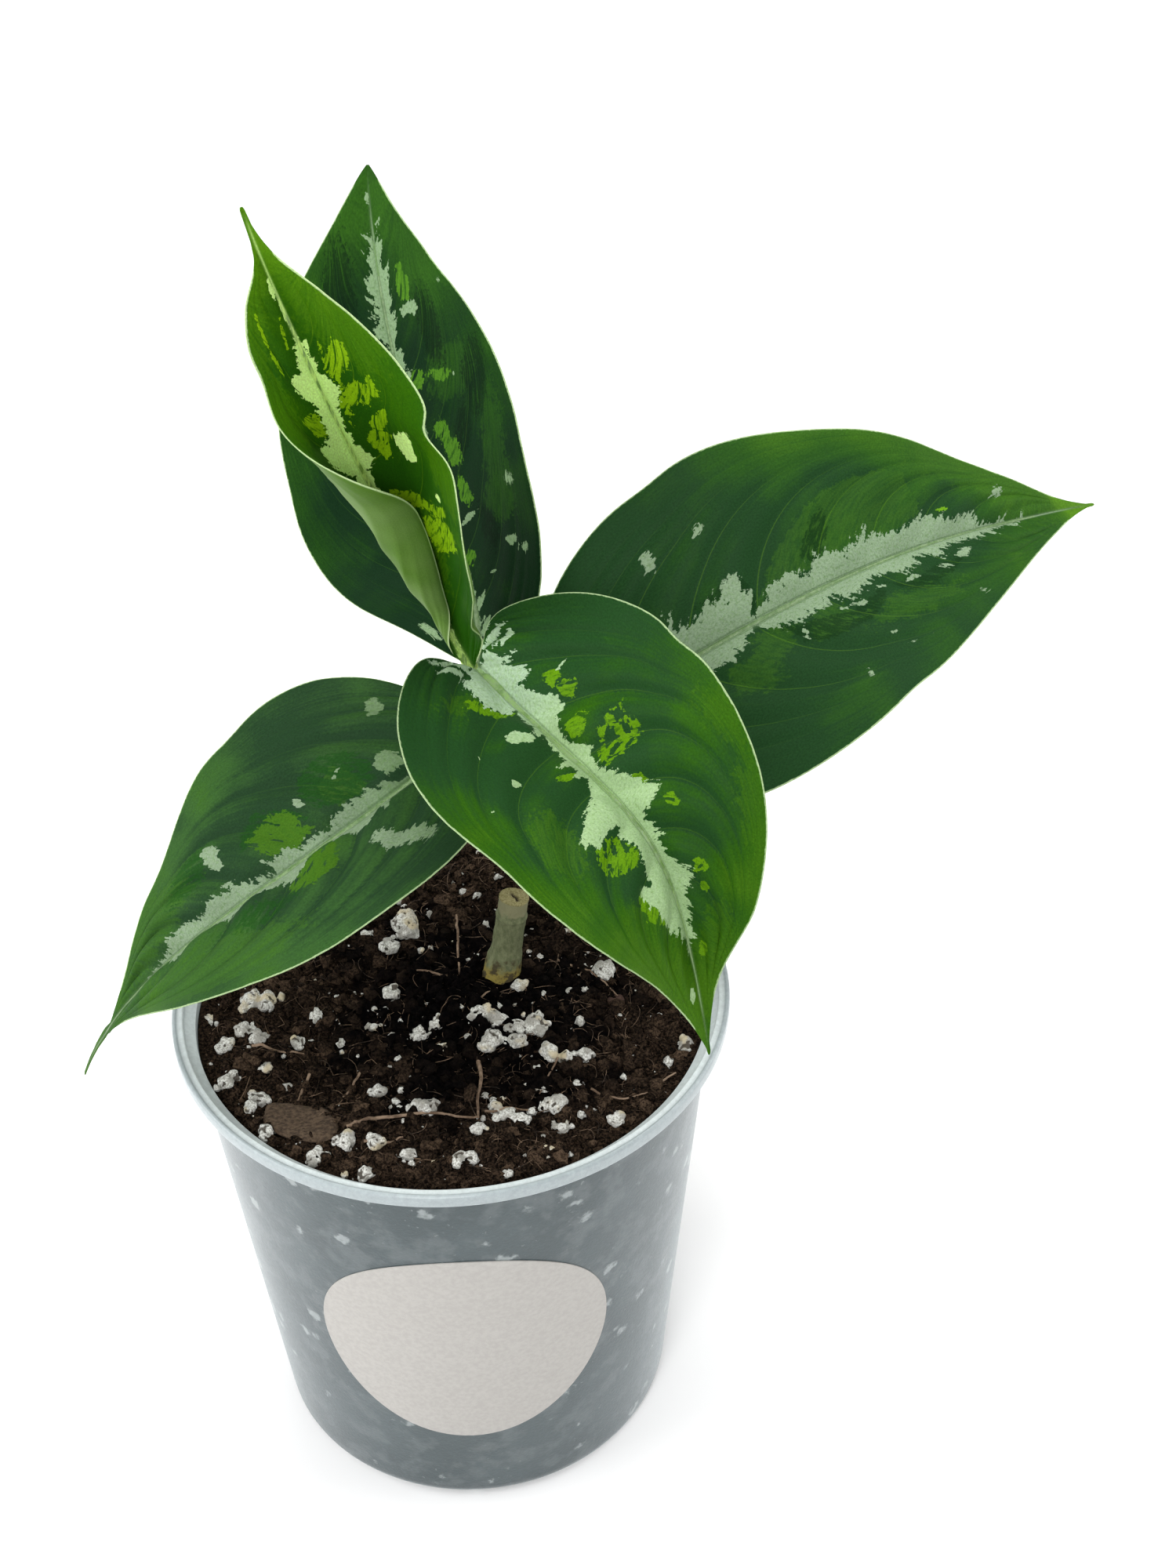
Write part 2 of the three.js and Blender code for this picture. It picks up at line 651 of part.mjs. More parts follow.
// The stalk, carried on along the blade's underside as its raised midrib.
function stalkAndRib(leaf) {
  const under = RIB_STATIONS.map((share) => {
    const { place, up } = ribFrame(leaf, share);
    return place.addScaledVector(up, -RIB_DEPTH * ribRadiusAt(share));
  });
  const curve = new THREE.CatmullRomCurve3([...leaf.stalk.map(vector), ...under], false, 'centripetal');
  const length = curve.getLength();
  const stalkLength = vector(leaf.stalk[0]).distanceTo(vector(leaf.rib[0]));
  const stalkShare = stalkLength / length;
  const radiusAt = (share) => {
    const onRib = Math.max(0, (share - stalkShare) / (1 - stalkShare));
    return ribRadiusAt(onRib * RIB_END);
  };
  return tube(curve, radiusAt, STALK_STEPS, STALK_SIDES);
}

function ribRadiusAt(share) {
  return between([PETIOLE_RADIUS, RIB_TIP_RADIUS], Math.sqrt(share / RIB_END));
}

// Collar of the leaf's sheath round the cane, between two heights.
function sheathRing(leaf) {
  const curve = new THREE.CatmullRomCurve3(CANE_PATH.map(vector));
  const samples = curve.getPoints(200);
  const within = samples.filter((point) => point.z > leaf.sheath[0] && point.z < leaf.sheath[1]);
  const path = new THREE.CatmullRomCurve3([within[0], within[Math.floor(within.length / 2)], within.at(-1)]);
  return tube(path, (share) => CANE_TOP_RADIUS + SHEATH_WALL * (0.8 + 0.5 * share), 3, CANE_SIDES);
}

function leafSolid(leaf, caneSocket) {
  const pieces = [blade(leaf), stalkAndRib(leaf)];
  if (leaf.sheath) pieces.push(sheathRing(leaf));
  const whole = joined(pieces);
  return mainBody(whole.subtract(caneSocket));
}

// Assembly

const cane = pathTube(CANE_PATH, caneRadiusAt, CANE_STEPS, 0);
const stub = pathTube(STUB_PATH, stubRadiusAt, STUB_STEPS, 0);
const caneSocket = socketFor(CANE_PATH, caneRadiusAt, CANE_STEPS);
const stubSocket = socketFor(STUB_PATH, stubRadiusAt, STUB_STEPS);

const plant = new THREE.Group();
plant.add(named('pot', pot(), 'pot'));
plant.add(named('label', label(), 'label'));
plant.add(named('soil', soil(caneSocket, stubSocket), 'soil'));
plant.add(named('cane', cane, 'cane'));
plant.add(named('cut_stub', stub, 'stub'));
for (const leaf of LEAVES) {
  plant.add(named(leaf.name, leafSolid(leaf, caneSocket), leaf.roll ? 'young' : 'leaf'));
}

export default plant;
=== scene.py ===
# A small potted foliage plant: five patterned leaves on a short cane, rooted in a filled pot.
# Sizes are millimetres and degrees, and MM turns them into metres. +Z is up and -Y is the front.

import math
from itertools import product
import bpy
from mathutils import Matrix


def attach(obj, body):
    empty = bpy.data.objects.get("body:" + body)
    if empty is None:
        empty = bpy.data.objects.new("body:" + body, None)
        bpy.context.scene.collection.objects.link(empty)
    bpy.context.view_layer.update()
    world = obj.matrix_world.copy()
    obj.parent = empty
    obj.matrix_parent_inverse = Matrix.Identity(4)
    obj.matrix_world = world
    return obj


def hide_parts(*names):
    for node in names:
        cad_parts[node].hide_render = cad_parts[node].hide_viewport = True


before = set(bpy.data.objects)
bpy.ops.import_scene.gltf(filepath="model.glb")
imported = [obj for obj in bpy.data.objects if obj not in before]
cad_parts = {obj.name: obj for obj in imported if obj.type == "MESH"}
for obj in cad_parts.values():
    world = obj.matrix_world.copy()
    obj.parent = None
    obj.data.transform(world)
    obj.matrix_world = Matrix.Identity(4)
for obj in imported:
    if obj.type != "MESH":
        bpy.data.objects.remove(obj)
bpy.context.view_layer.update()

from types import SimpleNamespace

import bmesh
import bpy
import numpy as np
from mathutils import Matrix, Vector

MM = 0.001

# Camera, at the photograph's place
CAMERA_PLACE = (0.0, -375.409, 461.607)
CAMERA_RIGHT = (0.9950657, -0.0971283, -0.0202571)
CAMERA_UP = (0.0754898, 0.6086534, 0.7898369)
CAMERA_FORWARD = (0.0643860, 0.7874688, -0.6129823)
CAMERA_LENS = 54.0
CAMERA_SENSOR = 36.0

# Square soft lights, each as name, place in metres, side in metres and power
LIGHTS = [
    ("left_soft", (-1.3, -0.1, 0.75), 1.2, 17),
    ("right_soft", (1.4, 0.1, 0.8), 1.2, 13),
    ("top_soft", (0.1, 0.3, 1.5), 1.2, 16),
    ("front_soft", (-0.35, -1.5, 1.35), 0.9, 27),
]
LIGHT_AIM = (0, 0, 0.12)
SKY_STRENGTH = 0.36
FLOOR_REACH = 4.0

# Pot
POT_HEIGHT = 116.4
RIM_RADIUS = 60.0
RIM_WIDTH = 2.5
RIM_SKIRT_HEIGHT = 3.0
WALL_TOP_RADIUS = 56.5
WALL_BASE_RADIUS = 45.4
WALL_THICKNESS = 1.0
BASE_THICKNESS = 1.4
BASE_EDGE_RADIUS = 3.5
DRAIN_HOLE_COUNT = 8
DRAIN_HOLE_RADIUS = 4.0
DRAIN_RING_RADIUS = 32.0
RIM_EDGE_RADIUS = 0.7
RIM_SKIRT_EDGE_RADIUS = 0.5
RIM_INNER_EDGE_RADIUS = 0.45
RIM_DIP = 0.3
POT_SIDES = 192

# Round paper label
LABEL_RADIUS = 32.5
LABEL_HEIGHT = 58.0
LABEL_AZIMUTH = -3.0
LABEL_THICKNESS = 0.25
LABEL_GAP = 0.04
LABEL_RINGS = 16
LABEL_SIDES = 96

# Cane and stub
CANE_PATH = [(28, 37, 84), (25, 36, 112), (18, 34, 138), (11, 32, 167)]
CANE_RADII = (3.5, 2.9)
CANE_SCAR_COUNT = 9
CANE_SCAR_HEIGHT = 0.3
STUB_PATH = [(9, 9.4, 94), (11.7, 9.8, 112), (13.4, 10.2, 122), (15, 10.5, 132)]
STUB_RADII = (4.0, 3.3)
STUB_RING_HEIGHT = 0.22
STUB_FOOT_SWELL = 0.35
STUB_STEPS = 120
STUB_SIDES = 72
# Rings of the cut face, as shares of its radius
CUT_RINGS = (0.93, 0.8, 0.6, 0.4, 0.2, 0.08)
CUT_DOME = 0.22
CRACK_HEADING = np.array([0.35, -0.9, 0.0])
CRACK_DEPTH = 0.5
SLIVER_STEP = 92
SLIVER_OFFSET = (-3.1, -0.9, -1.5)
SLIVER_LENGTH = 6.2
SLIVER_BEND = (-0.35, -0.1, 0.0)
SLIVER_RADII = (0.75, 0.12)

# Soil
SOIL_LEVEL = 112.0
SOIL_RELIEF = 0.7
SOIL_SETTLE = 0.6
SOIL_GAP = 0.15
SOIL_RINGS = 110
SOIL_SIDES = 360
# Middle of the painted shade of the leaves on the soil
SHADED_SOIL_CENTRE = (5, -2)
# The cane and the stub where they leave the soil, as [x, y, radius]
STEMS_IN_SOIL = [(25, 36, 3.6), (11.7, 9.8, 4.2)]
CRUMB_COUNT = 6000
CRUMB_RADII = (0.3, 1.7)
FINE_CRUMB = 1.0
GRIT_COUNT = 430
GRIT_RADII = (0.2, 1.2)
FINE_GRIT = 0.6
FIBRE_COUNT = 950
FIBRE_LENGTHS = (2, 9)
FIBRE_RADII = (0.03, 0.11)
SIZE_SKEW = 3.2
ROOTLET_LIFT = 0.55
BARK_THICKNESS = 1.3
RED_CHIP_THICKNESS = 0.9
CHIP_LIFT = 0.2
LUMP_GRAIN = 0.7
LUMP_SEED = 7
LUMP_SWELL = 1.12
PERLITE_CELL = 0.25
PORE_DEPTH = 0.38
BARK_OUTLINE = [(-40.5, -30.4), (-39.8, -26), (-37.4, -25.6), (-34.1, -26.6), (-27.7, -29.2),
                (-25.3, -32.2), (-25.7, -36.6), (-28.6, -38.2), (-34.1, -36.7), (-38.1, -34)]
RED_CHIP_OUTLINE = [(37.2, -3.6), (36.6, -1.6), (34.2, -1.2), (33.4, -2.8), (34.3, -4.5), (36.3, -4.7)]
# Rings of a chip's skin from its top to its underside: share of the outline, and share of the thickness
CHIP_ROWS = [(0.15, 1.0), (0.5, 1.0), (0.8, 0.97), (0.94, 0.75), (1.0, 0.35), (0.97, 0.0), (0.6, 0.0)]
CHIP_TILT = np.array([0.03, -0.02])

# Leaves
BLADE_THICKNESS = 0.55
EDGE_THINNING = 0.35
BLADE_ROWS = 190
BLADE_COLUMNS = 110
FIRST_ROW = 0.0012
COLUMN_CROWDING = 0.1
PETIOLE_RADIUS = 1.7
RIB_TIP_RADIUS = 0.45
RIB_END = 0.86
RIB_GROOVE = 0.3
RIB_CORE = 0.75
STALK_GROOVE = 0.08
STALK_GROOVE_COUNT = 7
SHEATH_GAP = 0.55
SHEATH_SPREAD = 1.25
SHEATH_LIP = 0.35
SHEATH_THICKNESS = (0.5, 0.25)
SHEATH_RINGS = 17
SHEATH_SIDES = 48
RIB_LINE_WIDTHS = (0.95, 0.3)
NOTCH_WIDTH = 0.2
NOTCH_FADE = 6
TIP_WIDTH = 1.3
TIP_END_WIDTH = 0.35
QUILT_HEIGHT = 1.5
UNEVEN_HEIGHT = 0.16
VEIN_SPACING = 14.5
VEIN_LEAN = 0.1
VEIN_SWEEP = 0.36
VEIN_LIMIT = 1.04
VEIN_LINE = 0.3
EDGE_TONE_WIDTH = 19
SECTOR_TONE = 0.1
# Painted light and shade on the leaves: across the panels between the veins, and in the creases at the veins
PANEL_LIGHT_AND_SHADE = 0.4
CREASE_SHADE = 0.36
SMALLEST_TURN = 1e-6
FARTHEST = 40.0
NO_PATCH = -60.0
WHOLE_SPOT = 2.2
WHOLE_PATCH = 11

# Each pair is [left, right], looking from the stalk to the tip with the upper face up.
# The shape values are those of the part's solids. rib is the midrib's Bezier curve, and side the way that
# the right half points at the stalk. lobe is how far the blade reaches back past the stalk. tip says where
# each half narrows, and to what share. dips are [side, place, span, depth] in the margin.
# fold_at_rib and fold_at_margin are slopes, and roll turns the margins in. sheath is its span of heights.
# The marks are in millimetres on the flat leaf: along the rib from the stalk, and out from it, with the
# left half negative. stripe is the silver along the rib, as its edge on each half.
# silver, lime, fresh and deep are patches, and gaps are holes in the lime ones: each is an outline, or a
# spot as [along, out, half length, half width, turn].
LEAVES = [
    dict(
        name="leaf_front",
        rib=[(10, 20, 186), (38.5, -44.5, 189), (42.5, -35, 192.5), (49.5, -46, 135.5)],
        side=dict(azimuth=223, elevation=-10, twist=-29),
        half_width=(33, 38),
        fullness=(0.56, 0.68),
        taper=1.22,
        lobe=0.045,
        tip=dict(start=(0.76, 0.9), end=(0.94, 1), keep=(0.62, 1)),
        dips=[(1, 0.46, 0.06, 0.04), (0, 0.34, 0.05, 0.03)],
        wave=dict(height=1, count=2.6, phase=(0.1, 0.45)),
        fold_at_rib=(25, 23),
        fold_at_margin=(48, 45),
        tone=-0.04,
        tip_tone=(0.5, -0.3),
        edge_tone=(0.6, 0.85),
        vein_shift=(0, 0.37),
        relief=1.3,
        tear=0.85,
        tints=dict(
            silver=(0.265, 0.385, 0.195), silver_base=(0.275, 0.38, 0.25), rib=(0.15, 0.26, 0.07),
            dark=(0.012, 0.046, 0.011), middle=(0.02, 0.076, 0.004), fresh=(0.04, 0.114, 0.004),
            lime=(0.085, 0.2, 0.004),
        ),
        sheath=(160.5, 166),
        stalk=[(10.5, 27.5, 165), (9.3, 22.5, 176)],
        stripe=(
            [(0, -1.3), (0.7, -4), (1, -8), (1.5, -4.7), (3, -4.7), (4.3, -8.3), (4, -5.3), (5.3, -5.3),
             (7.3, -7.3), (9.3, -7.7), (9, -3.3), (12.3, -4.7), (16, -7.7), (18.7, -6.7), (19.7, -4),
             (23.7, -2.3), (25.7, -2.8), (29, -4), (33, -3), (36.7, -3.3), (42.3, -5.3), (45.7, -6.7),
             (52, -8.7), (52, -6.3), (53, -4.7), (52, -3.8), (54.3, -2.3), (57, -2.8), (62.3, -2),
             (67, -2.1), (72, -4.8), (75.3, -4.5), (79, -2.3), (83, -2), (86.3, -1.3), (89, -1.7)],
            [(0.3, 0.7), (1.7, 3.3), (4, 4.7), (3, 6.3), (5.3, 7.3), (8, 8.7), (10.5, 6.7), (12, 2.7),
             (11, 1.3), (14.3, 1.9), (16.3, 2.3), (21.3, 3.5), (19.3, 1.7), (24.3, 1.7), (27.7, 3),
             (30.3, 5.2), (30, 2.7), (33, 2.7), (34.3, 4.1), (33, 1.3), (35.7, 2.3), (41, 4.7), (45, 8.3),
             (48.3, 11), (52.5, 14.8), (55.7, 12), (53.3, 10), (54, 9), (52.3, 7.7), (52.3, 5), (55.3, 5.2),
             (62.3, 4.7), (65, 5.2), (72.3, 5), (70.7, 7.7), (72.3, 9.7), (74.3, 8), (79.7, 6.7), (83, 5.7),
             (88.3, 3.3), (87.3, 2), (93.7, 0.4)],
        ),
        silver=[
            [(17.7, 7.5), (18.3, 9.7), (20, 10.3), (21.3, 9), (21.3, 5.5), (20.3, 4.3), (19, 5.2)],
            [(30, 15.3), (30.3, 17.2), (32.3, 17.5), (32, 15.5), (31, 14.8)],
            [(100, 2.2), (101.5, 3), (103.2, 2.2), (102, 1.2), (100.3, 1.4)],
            [(-0.6, 1.5), (-2.2, 5), (-3, 8.5), (-2.3, 9.5), (-1.4, 6), (0.2, 2.2)],
            [(0.2, 2.4), (-0.8, 6.5), (-1, 10.6), (-0.2, 11), (0.4, 7), (1.1, 3.2)],
            [(1.4, 4.6), (0.9, 8), (1.2, 11), (2, 10.6), (2.2, 7.5), (2.2, 5.2)],
            [(-2.5, -4), (-3.3, -8), (-2.4, -9), (-1.7, -4.5)],
            [(-0.8, -4), (-1.2, -9.5), (-0.1, -11.5), (0.1, -5)],
            [(0.9, -8), (1, -11), (2, -11), (2.3, -7)],
            (13.5, -12.5, 0.35, 2.2, -10), (37.4, 26, 0.5, 0.4, 0), (22, 18.2, 0.6, 0.4, 0),
        ],
        lime=[
            [(8.7, 9.7), (10.5, 12.7), (12, 9.3), (12.5, 6), (12.9, 2.7), (11.7, 1.7), (11, 4.7), (10, 7.3)],
            [(32.7, 6.7), (33, 8.3), (34.3, 9), (34.9, 7.3), (34.5, 5), (33.3, 3.7)],
            [(53.3, 10.7), (55.3, 12.7), (58.7, 14.1), (61.7, 14), (63.7, 11.3), (64.2, 7.3), (63.3, 5.3),
             (58.7, 5), (54.7, 6), (53.7, 7.3), (54.7, 8.7), (53.3, 9.3)],
            [(71.3, 7.7), (72.3, 10), (74.7, 9.3), (79, 9.3), (82, 7.7), (83, 5.7), (86.3, 4), (83, 4),
             (79, 5), (75.7, 6), (73, 6.7)],
            [(11.3, -8), (14.7, -8), (14.7, -11.3), (13.5, -11.7), (12, -10)],
            [(15.3, -8.5), (17.5, -8), (19.3, -9.5), (18.7, -11.7), (18.3, -12.7), (17, -11.7), (15.7, -11)],
            [(22.3, -4), (25, -3.3), (26.5, -5), (26.5, -7.3), (25, -9), (23, -8), (22.3, -6)],
            [(29.5, -7.7), (31, -5.3), (34, -3.7), (37, -4.3), (38.3, -7.7), (38.7, -10.7), (38, -13),
             (35.7, -14.7), (33, -13), (30.3, -15.3), (29.3, -12.7), (30, -10.3)],
            [(43.3, -6), (45, -5.3), (47.5, -6.3), (47, -8), (44.7, -7.5)],
            [(53, -8), (55, -7.7), (57.5, -9), (56.5, -10.3), (54, -9.7)],
            [(70.3, -6.5), (72.3, -6), (73.7, -5.3), (74.7, -6.7), (74, -8.5), (71, -8.5)],
            [(76.7, -6), (79, -5.3), (80.3, -6.3), (79, -7.3), (77, -7)],
            (93, -2.7, 1.6, 1, 0),
        ],
        gaps=[
            [(53.5, 10.3), (58, 12), (58.5, 11.1), (54.5, 9.4)],
            [(55, 8.6), (59.3, 9.8), (59.8, 8.8), (56, 7.4)],
            [(57, 6.4), (60, 7.6), (60.5, 6.6), (58, 5.6)],
            [(59.5, 12.3), (61.2, 12.8), (61.3, 11.2), (60, 11)],
            [(30.6, -9.3), (31.2, -6.5), (33, -5.8), (33.2, -9), (32, -10.3)],
            [(34.2, -8.3), (35, -5.7), (36.5, -6.3), (35.9, -9.9)],
            [(32.8, -12), (34.4, -10.7), (36, -11.3), (35.4, -13.2)],
            [(30, -12.3), (32, -11.5), (32.4, -13.6), (30.9, -14.4)],
            [(36.8, -11), (37.3, -8.7), (38, -10.3), (37.4, -12.4)],
            [(72.3, -6.8), (73.6, -6.3), (73.8, -7.6), (72.5, -7.9)],
        ],
        fresh=[
            (9, 12, 5, 2, 70), (50, 19, 9, 5, 10), (88, 8, 16, 6, -20), (66, -23, 9, 4, 20),
            (50, -27, 5, 3, 0), (92, -6, 10, 3, 15),
        ],
    ),
    dict(
        name="leaf_right",
        rib=[(37.5, 31, 164.5), (94, 37, 197.5), (110, 44.5, 194.5), (152, 68, 185)],
        side=dict(azimuth=-72, elevation=-35, twist=7),
        half_width=(38, 37.5),
        fullness=(0.46, 0.36),
        taper=1.24,
        lobe=0.055,
        tip=dict(start=(0.84, 0.88), end=(0.96, 1), keep=(0.72, 0.85)),
        dips=[(0, 0.22, 0.04, 0.02), (1, 0.42, 0.05, 0.02)],
        wave=dict(height=0.9, count=3.2, phase=(0.3, 0)),
        fold_at_rib=(16, 16),
        fold_at_margin=(14, 13),
        tone=-0.08,
        tip_tone=(0.4, 2.6),
        edge_tone=(0.9, 0.3),
        vein_shift=(-0.03, 0.06),
        relief=0.9,
        tear=1.5,
        tints={},
        sheath=(138, 146),
        stalk=[(20, 33.5, 144), (28, 31.5, 154)],
        stripe=(
            [(-6, -1), (5, -4), (13.5, -8.5), (16, -10.5), (16.5, -7), (19.3, -6.4), (20.4, -7.8),
             (25.1, -7.8), (26.5, -9.5), (28.6, -11.2), (29.9, -8.5), (31, -4.4), (29.5, -1.6), (33.4, -4.4),
             (38.1, -6.1), (43.6, -4.4), (47, -6.8), (49.8, -6.1), (52.5, -5), (60.4, -7.1), (64.1, -4.4),
             (66.9, -4.4), (73.7, -5.4), (76.1, -6.4), (81.2, -4.4), (84, -3), (88.8, -3.3), (91.5, -2.8),
             (92.7, -0.6), (97.6, -0.3), (105, -0.3)],
            [(-6, 1), (5, 3), (12, 4), (17.6, 5.9), (23.8, 5.9), (25.1, 3.9), (28.2, 0.8), (31.3, 3.2),
             (34, 4.6), (40.2, 5.4), (45, 4.1), (49.1, 5.2), (51.1, 6), (53.9, 4.6), (54.9, 3.8),
             (61.4, 3.7), (64.1, 4.9), (67.6, 4.9), (69.6, 3.3), (73.7, 2.9), (78.5, 3.3), (84.7, 2.5),
             (90.8, 1.8), (94.2, 1.4), (97, 0.8), (105, 0.4)],
        ),
        silver=[
            [(16, -21), (17.5, -20), (18.6, -22), (18.3, -24.8), (16.6, -24.5)],
            [(25.8, -22.2), (27.3, -22), (29, -23.4), (28.4, -24.4), (26.8, -23.8)],
            (43.6, 24.5, 0.5, 1, 0), (53, 18.3, 0.6, 0.4, 0), (55.5, 21.8, 1, 0.3, 0),
            (61, 21.4, 0.6, 0.4, 0), (80.3, 16.2, 0.9, 0.5, 10), (75.5, 7.4, 2.3, 0.6, 10),
            (82.5, 5.4, 2, 0.9, 0), (100.4, -7.1, 2, 1.1, -20), (36.5, 8.3, 0.6, 1.3, 0),
            (47, 7.2, 1.2, 0.5, 20), (50.5, 8.3, 1, 0.4, 10), (57, 6.6, 1.5, 0.4, 0),
            (65.5, 7.3, 1.6, 0.4, 10),
        ],
        lime=[(82, -6.2, 1.6, 0.4, 0)],
        fresh=[
            [(29.5, -1.6), (34, -6.4), (40, -12), (47.7, -16.7), (54.5, -18.7), (61.4, -19.1), (68.2, -18.7),
             (75, -16.7), (76, -7), (64, -4.5), (48, -5), (38, -5), (32, -3)],
            [(43, -6), (52, -5), (68, -8), (80, -11), (72, -12.5), (60, -12.5), (50, -10)],
            (42.5, 9, 5, 4, 0), (30, 7, 4, 5, 30), (24, 12, 5, 4, 30), (100, -12, 20, 5, 18),
            (62, 13, 12, 3, 0), (118, 0, 12, 4, 0),
        ],
        deep=[
            [(20, -9), (25, -10), (29, -12), (30.5, -9), (31.5, -5), (29.5, -1.2), (28, -6), (24, -8)],
            [(43, -8), (48, -14), (53, -16), (52, -11), (49, -7.5), (46, -5.5)],
            [(31.5, 3), (36, 6.5), (42, 8), (48, 9), (54, 8), (58, 6), (56, 10), (50, 13), (42, 13.5),
             (36, 11)],
            [(59, 6), (66, 8), (74, 6.5), (82, 6), (76, 9.5), (68, 11), (62, 9.5)],
        ],
    ),
    dict(
        name="leaf_back",
        rib=[(11.5, 38.5, 172), (14.5, 51, 200), (-6, 72.5, 206), (-4.5, 102.5, 260.5)],
        side=dict(azimuth=-64, elevation=-40, twist=-9),
        half_width=(35.5, 35.5),
        fullness=(0.92, 0.82),
        taper=0.9,
        lobe=0.015,
        tip=dict(start=(0.85, 0.85), end=(0.97, 0.97), keep=(0.85, 0.85)),
        dips=[(1, 0.86, 0.03, 0.05), (0, 0.6, 0.06, 0.02)],
        wave=dict(height=1, count=2.4, phase=(0.2, 0.7)),
        fold_at_rib=(15, 14),
        fold_at_margin=(13, 13),
        tone=-0.12,
        tip_tone=(0.5, 0.2),
        edge_tone=(0.45, 0.4),
        vein_shift=(0.42, 0.79),
        relief=0.45,
        tear=1.1,
        tints=dict(
            dark=(0.0045, 0.02, 0.0065), middle=(0.0095, 0.04, 0.005), fresh=(0.021, 0.076, 0.006),
            lime=(0.055, 0.155, 0.01), silver=(0.178, 0.268, 0.145), silver_base=(0.178, 0.268, 0.145),
            deep=(0.0025, 0.011, 0.0036),
        ),
        sheath=(153.5, 160),
        stalk=[(13, 36.2, 156.5), (12.6, 40, 165)],
        stripe=(
            [(-1, -0.5), (6, -3), (14, -4), (22, -1.5), (35, -2), (48, -3.6), (58, -3), (66, -1.9),
             (75, -3.3), (80, -2), (84, -1.8), (88.3, -2), (91, -2.2), (92.3, -3.3), (93.7, -1.8),
             (95.7, -2.7), (96.5, -1.6), (99, -1.4), (103, -1.8), (102, -0.5)],
            [(-1, 0.5), (5, 1), (22.5, 0.9), (40, 1.3), (45, 2.5), (52, 3.6), (60, 3.8), (66, 3.2),
             (68, 1.4), (72, 2), (76.3, 2.4), (79, 3.6), (82.3, 2.4), (84, 1.9), (86, 2.4), (91.7, 3.1),
             (95.7, 2.7), (99, 1.5), (103, 2), (102, 1), (101, 0.4)],
        ),
        silver=[
            [(4, 2.3), (5.3, 4.7), (6.7, 7.3), (8.7, 9.3), (9.7, 8.7), (8.7, 6.7), (7, 4), (5.3, 2)],
            [(9.3, 1.7), (11.7, 4), (15, 5.7), (14.7, 4), (13, 2.3), (10.3, 1.3)],
            [(16, 1.7), (19, 4), (21.7, 5.3), (20.7, 2.7), (20.7, 1.3), (16.3, 0.7)],
            [(9.5, -9), (12, -10), (16, -13), (15.5, -14), (12, -12.5), (10, -10.5)],
            [(87.7, 9.3), (89, 10.7), (90.3, 9.7), (90.2, 7.3), (89.3, 5.3), (88, 6), (88.3, 8)],
            [(29.3, 20), (30, 22.3), (31.3, 22.3), (32, 20), (31.3, 18.6), (30.3, 19.3)],
            (25.8, 10.5, 0.5, 1.1, 0), (28, 24, 0.8, 1.4, 0), (40.6, 9, 0.6, 3.5, -10),
            (43, 27.5, 1.2, 1.5, 40), (107, -0.6, 0.8, 0.5, 0), (86, -2.6, 1, 0.5, 60),
            (92.5, 17.5, 0.4, 0.4, 0), (73, 18, 0.4, 0.3, 0),
        ],
        lime=[
            [(43, 11), (44, 13.7), (47, 13.7), (50.5, 12), (50.7, 9.5), (47.5, 8.7), (45, 9)],
            [(52.5, 11), (54, 13.7), (59, 13.7), (62.5, 12), (65.7, 10), (65.5, 7), (62.5, 6.5), (60, 9),
             (54.7, 9)],
            [(29, 4), (30.3, 6.7), (32.7, 6.3), (33.3, 3.7), (32, 1.3), (30, 1.7)],
            [(73.3, 4.5), (73.7, 7.5), (75.3, 8.3), (77.5, 7.7), (78.3, 5.3), (76.7, 3.7)],
            [(90.5, 8.3), (93, 9), (97, 7.3), (96.5, 5.5), (93, 5), (91, 5.7)],
            (74.5, 14, 1.2, 3.6, 15),
        ],
        fresh=[(52, 26, 14, 4, 10), (74, 17, 6, 8, 0), (40, 22, 5, 5, 0), (97, 12, 10, 4, -30)],
        deep=[
            (70, 24, 9, 4, 10), (84, 13, 8, 3, -10), (60, 17, 6, 3, 30), (90, -10, 12, 4, 10),
            (36, 15, 6, 3, 0),
        ],
    ),
    dict(
        name="leaf_left",
        rib=[(5, 16, 169), (-40, -16.5, 156.5), (-64, -16.5, 146.5), (-78.5, -10.5, 110)],
        side=dict(azimuth=109, elevation=4, twist=-3),
        half_width=(35, 37),
        fullness=(0.68, 0.46),
        taper=1.9,
        lobe=0.035,
        tip=dict(start=(0.55, 0.6), end=(0.95, 0.86), keep=(0.25, 0.24)),
        dips=[(1, 0.28, 0.05, 0.02), (0, 0.46, 0.06, 0.02)],
        wave=dict(height=0.9, count=2.8, phase=(0.6, 0.2)),
        fold_at_rib=(17, 17),
        fold_at_margin=(13, 12),
        tone=0.16,
        tip_tone=(0.25, 0.6),
        edge_tone=(0.45, 0.4),
        vein_shift=(0.63, 0),
        relief=1.5,
        tear=1.05,
        tints=dict(
            dark=(0.0135, 0.038, 0.0145), middle=(0.029, 0.08, 0.018), fresh=(0.035, 0.102, 0.008),
            lime=(0.04, 0.108, 0.008), silver=(0.178, 0.245, 0.155), silver_base=(0.115, 0.18, 0.09),
            deep=(0.0095, 0.05, 0.0065),
        ),
        sheath=(146.5, 153),
        stalk=[(12, 29, 151), (7, 21, 161)],
        stripe=(
            [(-4, -0.8), (9.3, -1.3), (13, -3.3), (15, -5.3), (17.7, -5.3), (21, -4.7), (21.7, -3.3),
             (26.3, -2.3), (29.3, -3.3), (31.7, -4.7), (35.7, -6.7), (36.7, -5.3), (39.7, -4.7), (43.7, -4),
             (48.7, -4), (49.7, -2.7), (57, -2), (60.3, -2.7), (62.3, -2), (66.3, -2.7), (69, -1.3),
             (74, -0.5)],
            [(-4, 0.8), (8, 1), (10.3, 1.7), (11.3, 2.7), (15, 4), (18, 3.7), (23, 3.3), (23.3, 1),
             (25, 0.7), (26.3, 2.3), (30.3, 2.7), (33.7, 4.2), (38, 4.2), (37.3, 2), (38.3, 0.7), (41, 2),
